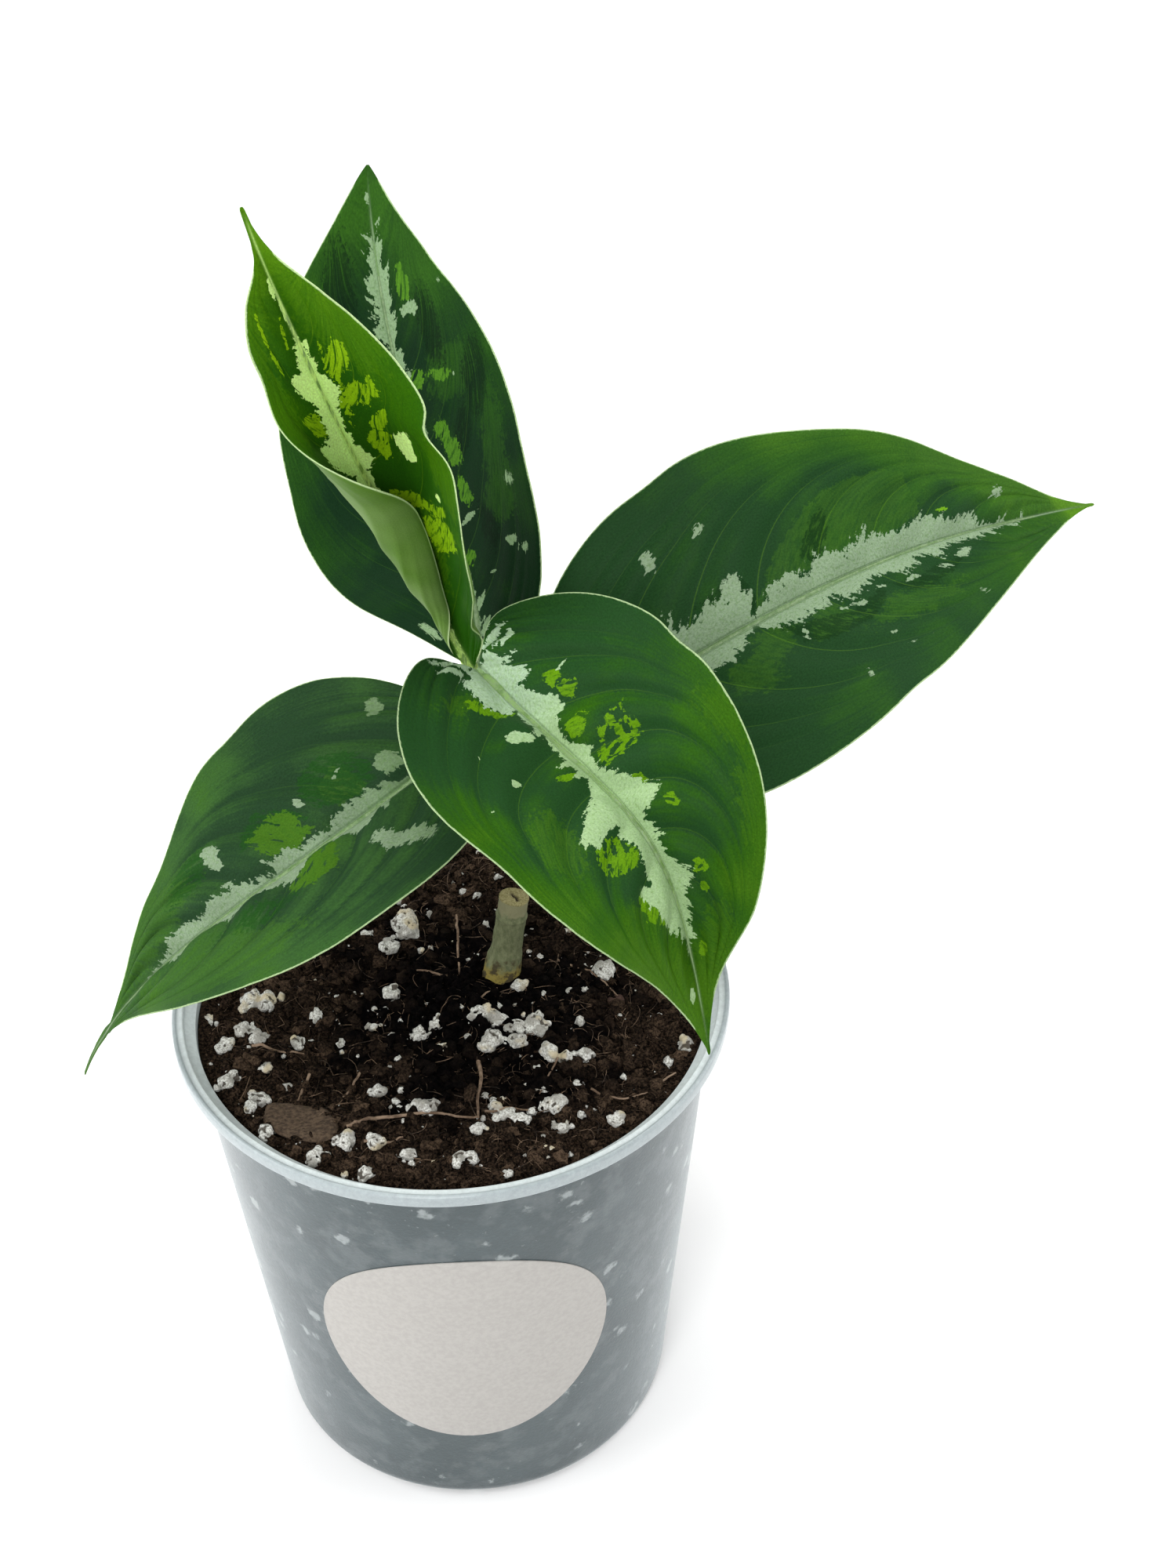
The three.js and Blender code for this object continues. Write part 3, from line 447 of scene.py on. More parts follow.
             (45.7, 4), (50.3, 4.3), (57, 3.3), (60.3, 3.7), (66.3, 2.7), (70.3, 0.7), (78, 0.5)],
        ),
        silver=[
            [(44.7, 12.3), (45.7, 14), (47.3, 14.8), (48.9, 14.3), (49, 12), (47.7, 9.3), (47, 8),
             (46, 9.3)],
            [(8, 3.5), (7.3, 6), (8.5, 9), (10.5, 9.3), (11.7, 6.5), (11, 4)],
            [(19.5, -11.5), (21.8, -13), (20.5, -17), (17.5, -21), (14.3, -22), (13.3, -20), (16, -15.5)],
            [(3, 18), (3.3, 21.3), (5, 21.3), (6.3, 18), (5, 17)],
            (47, 5.3, 1.4, 0.7, 0), (26, 10.5, 0.8, 1.4, 0), (17, 11.5, 0.4, 1.2, 60),
        ],
        lime=[
            [(27, 4), (28, 9), (30.5, 12), (34, 12.3), (38.5, 10), (38.3, 7), (36.5, 4.5), (31, 3)],
            [(25.5, -4.5), (26, -8), (29, -12), (32.5, -13.3), (36, -12), (37.3, -9), (36.3, -6),
             (31, -4.5)],
        ],
        fresh=[
            [(14.5, 5), (15, 10), (17, 13.3), (21, 12), (22, 8), (20.5, 4.5), (17, 4.7)],
            (75, 8, 20, 6, -10), (60, -14, 22, 6, 20),
        ],
        deep=[
            [(12.5, 5.5), (11.5, 10), (13.5, 14.5), (18, 17), (23, 16), (25, 12), (24, 7), (20.5, 5),
             (16, 4.5)],
            [(25.5, 5), (28, 10.5), (34, 15), (39, 13), (41, 8.5), (37, 9.5), (32, 9.8), (28.5, 8)],
            (55, 12, 8, 3, -20), (45, -10, 9, 3, 15),
        ],
    ),
    dict(
        name="leaf_new",
        rib=[(9.5, 32, 176.5), (-6, 44, 209.5), (-18, 24, 250.5), (-27, 26, 286)],
        side=dict(azimuth=0, elevation=33, twist=-11),
        half_width=(22.5, 31.5),
        fullness=(1.44, 1.06),
        taper=1.56,
        lobe=0,
        tip=dict(start=(0.85, 0.84), end=(0.92, 0.94), keep=(0.4, 0.7)),
        dips=[(1, 0.585, 0.035, 0.15), (0, 0.74, 0.05, 0.16)],
        wave=dict(height=0.7, count=3.4, phase=(0.5, 0.15)),
        fold_at_rib=(22, 31),
        fold_at_margin=(32, 32),
        roll=dict(turn=(203, 67), middle=0.59, span=0.51, start=0.16),
        tone=-0.1,
        tip_tone=(0.35, 0.5),
        edge_tone=(0.5, 0.5),
        vein_shift=(0.84, 0.21),
        relief=0.4,
        tear=0.8,
        tints={},
        sheath=None,
        stalk=[(11, 32, 167.5), (10.2, 32, 172)],
        stripe=(
            [(0, -0.5), (12, -1), (30, -2), (45, -1), (51, -1.3), (55, -3.3), (61, -7.3), (63.7, -8),
             (66, -7.3), (66.3, -5.3), (65, -4), (68.3, -3), (73, -3.3), (79, -5), (80.3, -5.3), (82.3, -4),
             (81.7, -2.7), (86.3, -1.3), (89, -0.7)],
            [(0, 0.5), (12, 1), (30, 2), (49.7, 2), (54.3, 1.3), (56, 3.3), (58, 5), (59.7, 3.3), (61, 2),
             (65, 1.3), (69.7, 2.3), (76.3, 4), (79, 2), (82.3, 1.3), (86.3, 0.7)],
        ),
        silver=[
            [(59.7, 16.7), (61.7, 16.3), (64.3, 16.7), (66.3, 16), (65.7, 14.7), (64.7, 12.3), (62.7, 11.9),
             (60.3, 13), (58.7, 14.3), (58.7, 15.7)],
            (51.5, 20, 1, 0.8, 0), (99, -0.8, 2.2, 0.5, 5), (94, -0.3, 3, 0.35, 0), (86, 1.5, 1.5, 0.5, 10),
        ],
        lime=[
            [(57.3, 7.7), (59, 9.3), (62, 10.3), (64.3, 11.3), (65.3, 9.7), (65, 7), (63, 5.3), (60.3, 5.7)],
            [(65, 9.3), (66.3, 11.3), (68.3, 12.3), (71, 12.7), (70.3, 10.7), (68.3, 9), (66.3, 7.3)],
            [(66.3, 3.3), (69, 4), (71, 5.3), (72.3, 7.3), (71.7, 9), (73, 11.3), (75, 12.7), (78, 12),
             (76, 10.7), (77, 9.3), (75.7, 7.3), (76.3, 5.3), (73.7, 3.7), (70, 2.3)],
            [(77.3, 5.3), (79.7, 7.3), (82.3, 9), (86.3, 9), (87.3, 7.3), (84.3, 5.3), (86.3, 4.3),
             (83, 3.3), (80.3, 3), (77.7, 3.7)],
            [(66.3, -4), (69, -2.7), (71.7, -4), (73.7, -6), (74, -7.7), (72.3, -8.3), (70.3, -7),
             (68.3, -6)],
            [(44.7, 6), (45.7, 12), (45.3, 18), (47, 21), (48.3, 20), (48.3, 14), (49.7, 9), (49.3, 5),
             (47.3, 4)],
            [(33, 10), (35, 15), (38, 20), (43, 22), (44.5, 17), (43.5, 12), (39, 9)],
            (90.5, -2.2, 3.2, 0.4, 12), (93, -6.3, 4.6, 0.4, 4), (86, -6.6, 2.4, 0.4, 0),
        ],
        fresh=[
            (92, 9, 14, 6, -25), (97, -8, 12, 4, 20), (60, 26, 10, 5, 0), (80, -12, 10, 4, 0),
            (30, 6, 20, 5, 30),
        ],
    ),
]

# Perlite lumps that show, as [x, y, radius] on the soil
LARGE_LUMPS = [
    (-9.5, 25, 3.6), (-13, 19, 2.2), (-17.5, 24.5, 1.5), (-43.5, 5, 2.6), (-40, 4, 2.3), (-52, 2, 1.4),
    (-49, -7.5, 1.9), (-44.5, -3.5, 2.1), (-42, -6.5, 2), (-13, 5, 2.1), (-7.5, -8, 2), (-3.5, -6, 1.7),
    (-2.5, -13, 1.6), (-29.5, -1.5, 1.6), (-33.5, -8.5, 1.7), (-48, -19.5, 2.1), (-41.5, -23, 2.1),
    (-43.5, -26.5, 1.6), (-40, -16, 1.5), (-17, -25, 1.7), (-40, -34, 2), (-30, -42, 2),
    (-24, -39, 2.5), (-17.5, -40, 2), (-11.5, -43, 1.6), (-20, -48, 1.7), (-7.5, -31, 2.5),
    (-1.5, -48, 1.7), (1.5, -46.5, 1.7), (3.5, -39, 1.7), (12, -37, 1.6), (7, -32, 1.8), (9.5, -35, 1.8),
    (19.5, -33, 2.3), (20.5, -38, 1.7), (31.5, -39, 1.8), (48.5, -18, 1.9), (44.5, -22, 1.3),
    (27, -19.5, 2), (23, -19.5, 1.9), (19, -19, 2.2), (12.5, -14.5, 2.1), (14, -10, 2.3),
    (18, -9.5, 2.8), (7.5, -13.5, 2.5), (9, -7, 2.4), (5.5, -6, 1.9), (15, 4.5, 1.7), (33.5, 7, 2.4),
]

# Rootlets and twigs on the soil: radius, then the points of the route
ROOTLETS = [
    (0.5, [(-23.5, -35), (-15, -33), (-9, -32.6), (-3, -34), (3.5, -35.5)]),
    (0.55, [(4.5, -18), (4.8, -24), (3.6, -30), (3.4, -36)]),
    (0.4, [(-31, -18), (-33.5, -26), (-35.5, -30)]),
    (0.35, [(-20.5, -19), (-24.5, -27)]),
    (0.4, [(-43, -9), (-38, -11), (-31.5, -12)]),
    (0.35, [(-31.5, -33), (-28, -30.5)]),
    (0.4, [(-20, -39.5), (-15, -40), (-12, -38.6)]),
    (0.3, [(20, -19), (21, -21), (16.5, -29.5)]),
    (0.35, [(4.8, -34), (9, -33), (15, -34.4)]),
    (0.35, [(41, -28), (45.5, -26.6)]),
    (0.4, [(1.5, 8), (-5, 9.6), (-7.5, 10)]),
    (0.4, [(2.5, 28), (2.2, 16), (2, 5)]),
    (0.3, [(5, -1), (10, 4)]),
    (0.3, [(24, 12), (32, 5), (36, -2)]),
    (0.3, [(27, -30), (33, -33), (40, -31)]),
]


# Small tools

def vectors(points):
    return np.array(points, dtype=float)


def unit(points):
    return points / np.linalg.norm(points, axis=-1, keepdims=True)


def smooth(value):
    """From 0 to 1 as the value does, with soft ends, and level outside."""
    held = np.clip(value, 0, 1)
    return held * held * (3 - 2 * held)


def blend(start, end, share):
    return start + (end - start) * share


def triples(x, y=0, z=0):
    """A list of points, or of a field's values, from three lists of numbers."""
    return np.stack(np.broadcast_arrays(x, y, z), -1)


def circle(sides):
    return np.linspace(0, 2 * math.pi, sides, endpoint=False)


def around(radius, height, angles):
    """Points at those angles round the middle axis."""
    return triples(radius * np.cos(angles), radius * np.sin(angles), height)


def distances(path):
    """How far along the path each of its points lies."""
    return np.concatenate([[0], np.cumsum(np.linalg.norm(np.diff(path, axis=0), axis=1))])


def lattice_value(cell, seed):
    mixed = (cell[..., 0] * 374761393 + cell[..., 1] * 668265263
             + cell[..., 2] * 1442695041 + seed * 1274126177) & 0xFFFFFFFF
    mixed = ((mixed ^ (mixed >> 13)) * 1274126177) & 0xFFFFFFFF
    return ((mixed ^ (mixed >> 16)) & 0xFFFF) / 32767.5 - 1


def value_noise(points, seed=0):
    """Smooth noise from -1 to 1 with a cell size of 1."""
    base = np.floor(points).astype(np.int64)
    part = smooth(points - base)
    total = np.zeros(points.shape[:-1])
    for corner in product((0, 1), repeat=3):
        weight = np.ones(points.shape[:-1])
        for axis, bit in enumerate(corner):
            weight = weight * (part[..., axis] if bit else 1 - part[..., axis])
        total += weight * lattice_value(base + np.array(corner), seed)
    return total


def fractal(points, size, octaves=3, seed=0):
    """Noise of several octaves, the widest of the given size in millimetres."""
    total = np.zeros(points.shape[:-1])
    for octave in range(octaves):
        total += 0.5 ** octave * value_noise(points * (2.1 ** octave / size), seed + octave)
    return total


def catmull(path, count):
    """Points of a smooth curve through the path, evenly spread."""
    points = vectors(path)
    padded = np.vstack([2 * points[0] - points[1], points, 2 * points[-1] - points[-2]])
    dense = []
    for i in range(len(points) - 1):
        a, b, c, d = padded[i:i + 4]
        t = np.linspace(0, 1, 40, endpoint=False)[:, None]
        dense.append(0.5 * (2 * b + (c - a) * t + (2 * a - 5 * b + 4 * c - d) * t ** 2
                            + (3 * b - a - 3 * c + d) * t ** 3))
    dense = np.vstack(dense + [points[-1:]])
    steps = distances(dense)
    wanted = np.linspace(0, steps[-1], count)
    return np.stack([np.interp(wanted, steps, dense[:, k]) for k in range(3)], axis=1)


def skin_faces(rings, sides, ends="fan", flip=False):
    """Faces over rings of points that follow each other.

    The ends are fans round the two points after the last ring, flat faces, or joined to each other.
    """
    j = np.arange(sides)
    k = np.roll(j, -1)
    low = sides * np.arange(rings)[:, None]
    high = np.roll(low, -1, axis=0)
    faces = np.stack([low + j, low + k, high + k, high + j], -1).reshape(-1, 4).tolist()
    last = (rings - 1) * sides
    middle = rings * sides
    if ends != "joined":
        faces = faces[:-sides]
    if ends == "fan":
        faces += [[middle, b, a] for a, b in zip(j.tolist(), k.tolist())]
        faces += [[middle + 1, last + a, last + b] for a, b in zip(j.tolist(), k.tolist())]
    elif ends == "flat":
        faces += [j[::-1].tolist(), (last + j).tolist()]
    return [face[::-1] for face in faces] if flip else faces


def add_object(name, data):
    thing = bpy.data.objects.new(name, data)
    bpy.context.scene.collection.objects.link(thing)
    return thing


def make_piece(name, points, faces, materials, face_materials=None, fields=None, sharp=40):
    mesh = bpy.data.meshes.new(name)
    mesh.from_pydata((np.asarray(points) * MM).tolist(), [], [list(face) for face in faces])
    for material in materials:
        mesh.materials.append(material)
    if face_materials is not None:
        mesh.polygons.foreach_set("material_index", np.asarray(face_materials, dtype=np.int32))
    for label, values in (fields or {}).items():
        put_field(mesh, label, values)
    mesh.polygons.foreach_set("use_smooth", np.ones(len(mesh.polygons), dtype=bool))
    mesh.set_sharp_from_angle(angle=math.radians(sharp))
    mesh.update()
    piece = add_object(name, mesh)
    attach(piece, "root")
    return piece


def put_field(mesh, label, values):
    attribute = mesh.attributes.new(label, "FLOAT_VECTOR", "POINT")
    attribute.data.foreach_set("vector", np.asarray(values, dtype=np.float32).ravel())


def apply_modifier(piece, name, kind, **settings):
    modifier = piece.modifiers.new(name, kind)
    for key, value in settings.items():
        setattr(modifier, key, value)
    with bpy.context.temp_override(object=piece, active_object=piece):
        bpy.ops.object.modifier_apply(modifier=modifier.name)


def tube_mesh(path, radii, sides, bump=None):
    """Points and faces of a closed round tube along points. bump(points, shares, angles) moves its skin."""
    ahead = unit(np.gradient(path, axis=0))
    across = [unit(np.cross(ahead[0], (0.3, 0.9, 0.1)))]
    for step in ahead[1:]:
        across.append(unit(across[-1] - step * np.dot(across[-1], step)))
    across = np.array(across)
    other = np.cross(ahead, across)
    angles = circle(sides)[None, :, None]
    outward = across[:, None, :] * np.cos(angles) + other[:, None, :] * np.sin(angles)
    radii = np.broadcast_to(np.asarray(radii, dtype=float), (len(path),))
    skin = path[:, None, :] + outward * radii[:, None, None]
    if bump is not None:
        skin = skin + outward * bump(skin, np.linspace(0, 1, len(path)), circle(sides))[..., None]
    return np.vstack([skin.reshape(-1, 3), path[:1], path[-1:]]), skin_faces(len(path), sides)


def joined(meshes):
    """One list of points and one of faces from several."""
    all_faces = []
    shift = 0
    for points, faces in meshes:
        all_faces.extend([tuple(index + shift for index in face) for face in faces])
        shift += len(points)
    return np.vstack([points for points, _ in meshes]), all_faces


# Materials

class Wire:
    """A node's output that can be summed and multiplied like a number."""

    def __init__(self, nodes, socket):
        self.nodes = nodes
        self.socket = socket

    def __add__(self, other):
        return self.nodes.maths("ADD", self, other)

    def __sub__(self, other):
        return self.nodes.maths("SUBTRACT", self, other)

    def __rsub__(self, other):
        return self.nodes.maths("SUBTRACT", other, self)

    def __mul__(self, other):
        return self.nodes.maths("MULTIPLY", self, other)

    def __abs__(self):
        return self.nodes.maths("ABSOLUTE", self)

    def step(self, low, high):
        """From 0 at low to 1 at high, smoothly."""
        inputs = {"Value": self, "From Min": low, "From Max": high}
        return self.nodes.add("ShaderNodeMapRange", inputs, "Result", interpolation_type="SMOOTHSTEP")

    def swing(self, reach):
        """A noise value turned into one from -reach to reach."""
        return (self - 0.5) * (2 * reach)


class Nodes:
    """A short way to write a material's nodes."""

    def __init__(self, name):
        self.material = bpy.data.materials.new(name)
        self.material.use_nodes = True
        self.tree = self.material.node_tree
        self.shader = self.tree.nodes["Principled BSDF"]

    def put(self, target, value):
        if isinstance(value, Wire):
            self.tree.links.new(value.socket, target)
        elif target.type == "RGBA":
            target.default_value = (*value[:3], 1)
        else:
            target.default_value = value

    def add(self, kind, inputs, output=0, **settings):
        node = self.tree.nodes.new(kind)
        for key, value in settings.items():
            setattr(node, key, value)
        for key, value in inputs.items():
            self.put(node.inputs[key], value)
        return Wire(self, node.outputs[output])

    def maths(self, operation, a, b=0.0):
        return self.add("ShaderNodeMath", {0: a, 1: b}, operation=operation)

    def mix(self, share, a, b, blend_type="MIX"):
        inputs = {"Factor": share, "A": a, "B": b}
        return self.add("ShaderNodeMix", inputs, "Result", data_type="RGBA", blend_type=blend_type)

    def layers(self, colour, *layers):
        """Colours laid over each other, each with its share."""
        for share, tone in layers:
            colour = self.mix(share, colour, tone)
        return colour

    def shaded(self, colour, shade):
        """A colour made lighter or darker by a number."""
        grey = self.add("ShaderNodeCombineColor", {0: shade, 1: shade, 2: shade})
        return self.mix(1.0, colour, grey, "MULTIPLY")

    def field(self, label):
        return self.add("ShaderNodeAttribute", {}, "Vector", attribute_name=label)

    def parts(self, vector):
        first = self.add("ShaderNodeSeparateXYZ", {0: vector})
        return [Wire(self, socket) for socket in first.socket.node.outputs]

    def stretched(self, vector, scale):
        return self.add("ShaderNodeVectorMath", {0: vector, 1: scale}, operation="MULTIPLY")

    def noise(self, vector, scale, detail=3, roughness=0.6):
        """Noise with cells of 1 / scale. A scale of three numbers stretches it."""
        if isinstance(scale, tuple):
            vector = self.stretched(vector, scale)
            scale = 1.0
        inputs = {"Vector": vector, "Scale": scale, "Detail": detail, "Roughness": roughness}
        return self.add("ShaderNodeTexNoise", inputs, "Fac")

    def cells(self, vector, scale):
        return self.add("ShaderNodeTexVoronoi", {"Vector": vector, "Scale": scale}, "Distance", feature="F1")

    def place(self):
        """Place on the object in millimetres."""
        return self.stretched(self.add("ShaderNodeTexCoord", {}, "Object"), (1000, 1000, 1000))

    def off_axis(self, place, x=0, y=0):
        """Distance from an upright axis."""
        across, deep, _ = self.parts(place)
        total = self.maths("POWER", abs(across - x), 2) + self.maths("POWER", abs(deep - y), 2)
        return self.maths("SQRT", total)

    def bump(self, height, distance):
        inputs = {"Height": height, "Distance": distance * MM}
        self.put(self.shader.inputs["Normal"], self.add("ShaderNodeBump", inputs, "Normal"))

    def finish(self, **values):
        for key, value in values.items():
            self.put(self.shader.inputs[key.replace("_", " ")], value)
        return self.material


MATURE = dict(
    dark=(0.0115, 0.041, 0.012),
    middle=(0.019, 0.067, 0.009),
    fresh=(0.034, 0.100, 0.009),
    lime=(0.105, 0.245, 0.009),
    silver=(0.190, 0.265, 0.165),
    silver_base=(0.185, 0.260, 0.165),
    deep=(0.0062, 0.0260, 0.0060),
    rib=(0.085, 0.165, 0.045),
    flank=(0.030, 0.075, 0.015),
    # margin is the colour of the painted highlight along the leaf's edge; line, below, is its width in
    # millimetres and the next value how strongly it shows.
    margin=(0.370, 0.490, 0.260),
    under=(0.090, 0.160, 0.060),
    under_pale=(0.150, 0.230, 0.100),
    line=0.34,
    edge_highlight_strength=0.75,
)
# The unfolding leaf's tones: partly its own lighter, fresher green, and partly painted light, raised well
# above that to stand in for the light that comes through the thin leaf into its shaded cup.
YOUNG_PAINTED_BRIGHT = dict(
    dark=(0.014, 0.070, 0.003),
    middle=(0.027, 0.100, 0.002),
    fresh=(0.060, 0.160, 0.003),
    lime=(0.185, 0.350, 0.005),
    silver=(0.520, 0.745, 0.235),
    silver_base=(0.520, 0.745, 0.235),
    deep=(0.008, 0.038, 0.002),
    rib=(0.400, 0.600, 0.130),
    flank=(0.250, 0.440, 0.080),
    # margin is the colour of the painted highlight along the leaf's edge; line, below, is its width in
    # millimetres and the next value how strongly it shows.
    margin=(0.460, 0.600, 0.300),
    under=(0.075, 0.158, 0.020),
    under_pale=(0.128, 0.222, 0.055),
    line=0.48,
    edge_highlight_strength=0.85,
)
LEAF_GLOW = dict(Subsurface_Radius=(0.6, 1.0, 0.25), Subsurface_Scale=0.001)


def leaf_masks(nodes):
    """Masks of the leaf's marks: distances to their outlines, torn by noise along the side veins."""
    sheet = nodes.field("sheet")
    grain = nodes.field("grain")
    silver, lime, fresh = nodes.parts(nodes.field("marks"))
    count, fade, rib = nodes.parts(nodes.field("lines"))
    along, _, margin = nodes.parts(sheet)
    teeth = nodes.noise(grain, (0.45, 0.16, 1), 2, 0.55)
    feathers = nodes.noise(grain, (1.1, 0.42, 1), 4, 0.62)
    holes = nodes.noise(grain, (0.55, 0.3, 1), 2, 0.5)
    lobes = nodes.noise(sheet, (0.4, 0.4, 0), 2, 0.5)
    ragged = nodes.noise(sheet, (1.3, 1.3, 0), 4, 0.62)
    outline = lobes.swing(2.0) + ragged.swing(2.0) + feathers.swing(1.4)
    off_vein = (0.5 - abs(nodes.maths("FRACT", count) - 0.5)) * VEIN_SPACING
    return SimpleNamespace(
        sheet=sheet,
        along=along,
        margin=margin,
        rib=rib,
        feathers=feathers,
        ragged=ragged,
        wide=nodes.noise(sheet, (0.055, 0.055, 0), 2, 0.5),
        streaks=nodes.noise(grain, (0.45, 0.05, 1)),
        silver=(silver + (teeth.swing(2.6) + feathers.swing(1.9) + ragged.swing(1.7))).step(-0.08, 0.08),
        lime=(lime + outline).step(-0.1, 0.1) * holes.step(0.36, 0.39),
        fresh=(fresh + outline * 0.6).step(-0.3, 0.3),
        vein=off_vein.step(VEIN_LINE, 0.0) * fade,
    )


def leaf_upper(name, tones):
    nodes = Nodes(name)
    mask = leaf_masks(nodes)
    # The tone field holds painted light and shade over the panels and in the creases, besides the leaf's own
    # lighter and darker greens.
    tone, deep, _ = nodes.parts(nodes.field("tone"))
    tone = tone + (mask.wide.swing(0.9) + mask.streaks.swing(0.45) + mask.ragged.swing(0.25))
    deep = (deep + mask.ragged.swing(1.6)).step(-0.25, 0.25) * mask.feathers.step(0.62, 0.5)
    patch = nodes.mix(mask.feathers.step(0.36, 0.6), tones["middle"], tones["fresh"])
    lime = nodes.mix(mask.feathers.step(0.38, 0.5), tones["fresh"], tones["lime"])
    silver = nodes.mix(mask.along.step(8, 24), tones["silver_base"], tones["silver"])
    silver = nodes.mix(mask.ragged.step(0.32, 0.54), nodes.mix(0.5, silver, tones["rib"]), silver)
    # Painted highlight: a pale line along the leaf's edge, where the edge catches the light.
    line = (mask.margin + mask.ragged.swing(0.25)).step(tones["line"], 0.4 * tones["line"])
    colour = nodes.layers(
        tones["dark"],
        (tone.step(-0.1, 0.65), tones["middle"]),
        (tone.step(0.5, 1.2), tones["fresh"]),
        (tone.step(1.3, 2.4) * 0.85, tones["lime"]),
        (mask.fresh * 0.5, patch),
        (deep * 0.75, tones["deep"]),
        (mask.vein * 0.22, tones["lime"]),
        (mask.rib * 0.75, tones["silver"]),
        (mask.lime, lime),
        (mask.silver, silver),
        (mask.rib.step(0.12, 0.3) * mask.rib.step(0.62, 0.42) * 0.4, tones["flank"]),
        (mask.rib.step(0.5, 0.7) * mask.silver * 0.7, tones["rib"]),
        (line * tones["edge_highlight_strength"], tones["margin"]),
    )
    speckle = nodes.noise(mask.sheet, (2.4, 2.4, 0), 4, 0.65)
    nodes.bump(speckle + mask.streaks * 0.4, 0.05)
    return nodes.finish(
        Base_Color=nodes.shaded(colour, speckle * 1.2 + 0.4),
        Roughness=speckle * 0.22 + 0.28,
        Specular_IOR_Level=0.02,
        Subsurface_Weight=0.08,
        **LEAF_GLOW,
    )


def leaf_under(name, tones):
    nodes = Nodes(name)
    mask = leaf_masks(nodes)
    # Painted highlight: a pale line along the leaf's edge, where the edge catches the light.
    line = mask.margin.step(tones["line"], 0.4 * tones["line"])
    colour = nodes.layers(
        tones["under"],
        (mask.wide.step(0.3, 0.7), tones["under_pale"]),
        (mask.silver * 0.2, tones["silver"]),
        (mask.lime * 0.3, tones["lime"]),
        (mask.vein * 0.5, tones["under_pale"]),
        (line * tones["edge_highlight_strength"], tones["margin"]),
    )
    speckle = nodes.noise(mask.sheet, (2.4, 2.4, 0))
    nodes.bump(speckle + mask.streaks, 0.04)
    return nodes.finish(
        Base_Color=nodes.shaded(colour, speckle * 0.5 + 0.75),
        Roughness=speckle * 0.2 + 0.42,
        Specular_IOR_Level=0.05,
        Subsurface_Weight=0.12,
        **LEAF_GLOW,
    )


def stalk_material(name, tones):
    nodes = Nodes(name)
    place = nodes.place()
    streaks = nodes.noise(place, (1.6, 1.6, 0.12))
    colour = nodes.layers(
        tones["rib"],
        (streaks.step(0.35, 0.65), tones["under_pale"]),
        (nodes.noise(place, 0.35).step(0.5, 0.62) * 0.5, tones["fresh"]),
    )
    nodes.bump(streaks, 0.08)
    return nodes.finish(Base_Color=colour, Roughness=0.45, Subsurface_Weight=0.15,
                        Subsurface_Radius=(0.8, 1.2, 0.3), Subsurface_Scale=0.001)


def two_tone_material(name, scale, detail, roughness, steps, low, high, relief, **values):
    """A matt material with two tones mixed by noise, which also makes its relief."""
    nodes = Nodes(name)
    grain = nodes.noise(nodes.place(), scale, detail, roughness)
    nodes.bump(grain, relief)
    tone = nodes.mix(grain.step(*steps), low, high)
    return nodes.finish(Base_Color=tone, Specular_IOR_Level=0.25, **values)


# Camera, floor and lights

def camera():
    lens = bpy.data.cameras.new("camera")
    lens.lens = CAMERA_LENS
    lens.sensor_width = CAMERA_SENSOR
    lens.clip_start = 0.01
    eye = add_object("camera", lens)
    turn = Matrix((CAMERA_RIGHT, CAMERA_UP, [-value for value in CAMERA_FORWARD])).transposed()
    eye.matrix_world = Matrix.Translation(Vector(CAMERA_PLACE) * MM) @ turn.to_4x4()
    bpy.context.scene.camera = eye


def studio():
    scene = bpy.context.scene
    scene.view_settings.view_transform = "Standard"
    scene.world = bpy.data.worlds.new("studio")
    scene.world.use_nodes = True
    background = scene.world.node_tree.nodes["Background"]
    background.inputs["Color"].default_value = (1, 1, 1, 1)
    background.inputs["Strength"].default_value = SKY_STRENGTH
    for name, place, side, power in LIGHTS:
        lamp = bpy.data.lights.new(name, "AREA")
        lamp.shape = "SQUARE"
        lamp.size = side
        lamp.energy = power
        light = add_object(name, lamp)
        light.location = place
        light.rotation_euler = (Vector(LIGHT_AIM) - Vector(place)).to_track_quat("-Z", "Y").to_euler()
    mesh = bpy.data.meshes.new("floor")
    corners = [(x * FLOOR_REACH, y * FLOOR_REACH, 0) for x, y in ((-1, -1), (1, -1), (1, 1), (-1, 1))]
    mesh.from_pydata(corners, [], [(0, 1, 2, 3)])
    mesh.materials.append(Nodes("floor").finish(Base_Color=(0.86, 0.86, 0.86), Roughness=0.8))
    floor = add_object("floor", mesh)


# Leaves

def bezier(points, share):
    """Places on a Bezier curve, and its slopes there."""
    share = share[..., None]
    a, b, c, d = vectors(points)
    rest = 1 - share
    place = rest ** 3 * a + 3 * rest ** 2 * share * b + 3 * rest * share ** 2 * c + share ** 3 * d
    slope = 3 * rest ** 2 * (b - a) + 6 * rest * share * (c - b) + 3 * share ** 2 * (d - c)
    return place, slope


def rib_frame(leaf, share):
    """Places and directions on the midrib. Below 0 it goes on straight, under the lobes."""
    held = np.clip(share, 0, 1)
    place, slope = bezier(leaf["rib"], held)
    start = 3 * (vectors(leaf["rib"][1]) - vectors(leaf["rib"][0]))
    place = place + start * np.minimum(share, 0)[..., None]
    ahead = unit(slope)
    side = leaf["side"]
    azimuth, elevation = math.radians(side["azimuth"]), math.radians(side["elevation"])
    level = math.cos(elevation)
    right = np.array([level * math.cos(azimuth), level * math.sin(azimuth), math.sin(elevation)])
    right = unit(right - (ahead @ right)[..., None] * ahead)
    turn = -np.radians(side["twist"] * held)[..., None]
    right = right * np.cos(turn) + np.cross(ahead, right) * np.sin(turn)
    return place, ahead, right, np.cross(right, ahead)


def pick(pair, side):
    """The left or the right value of a pair, point by point."""
    return np.where(side == 0, pair[0], pair[1])


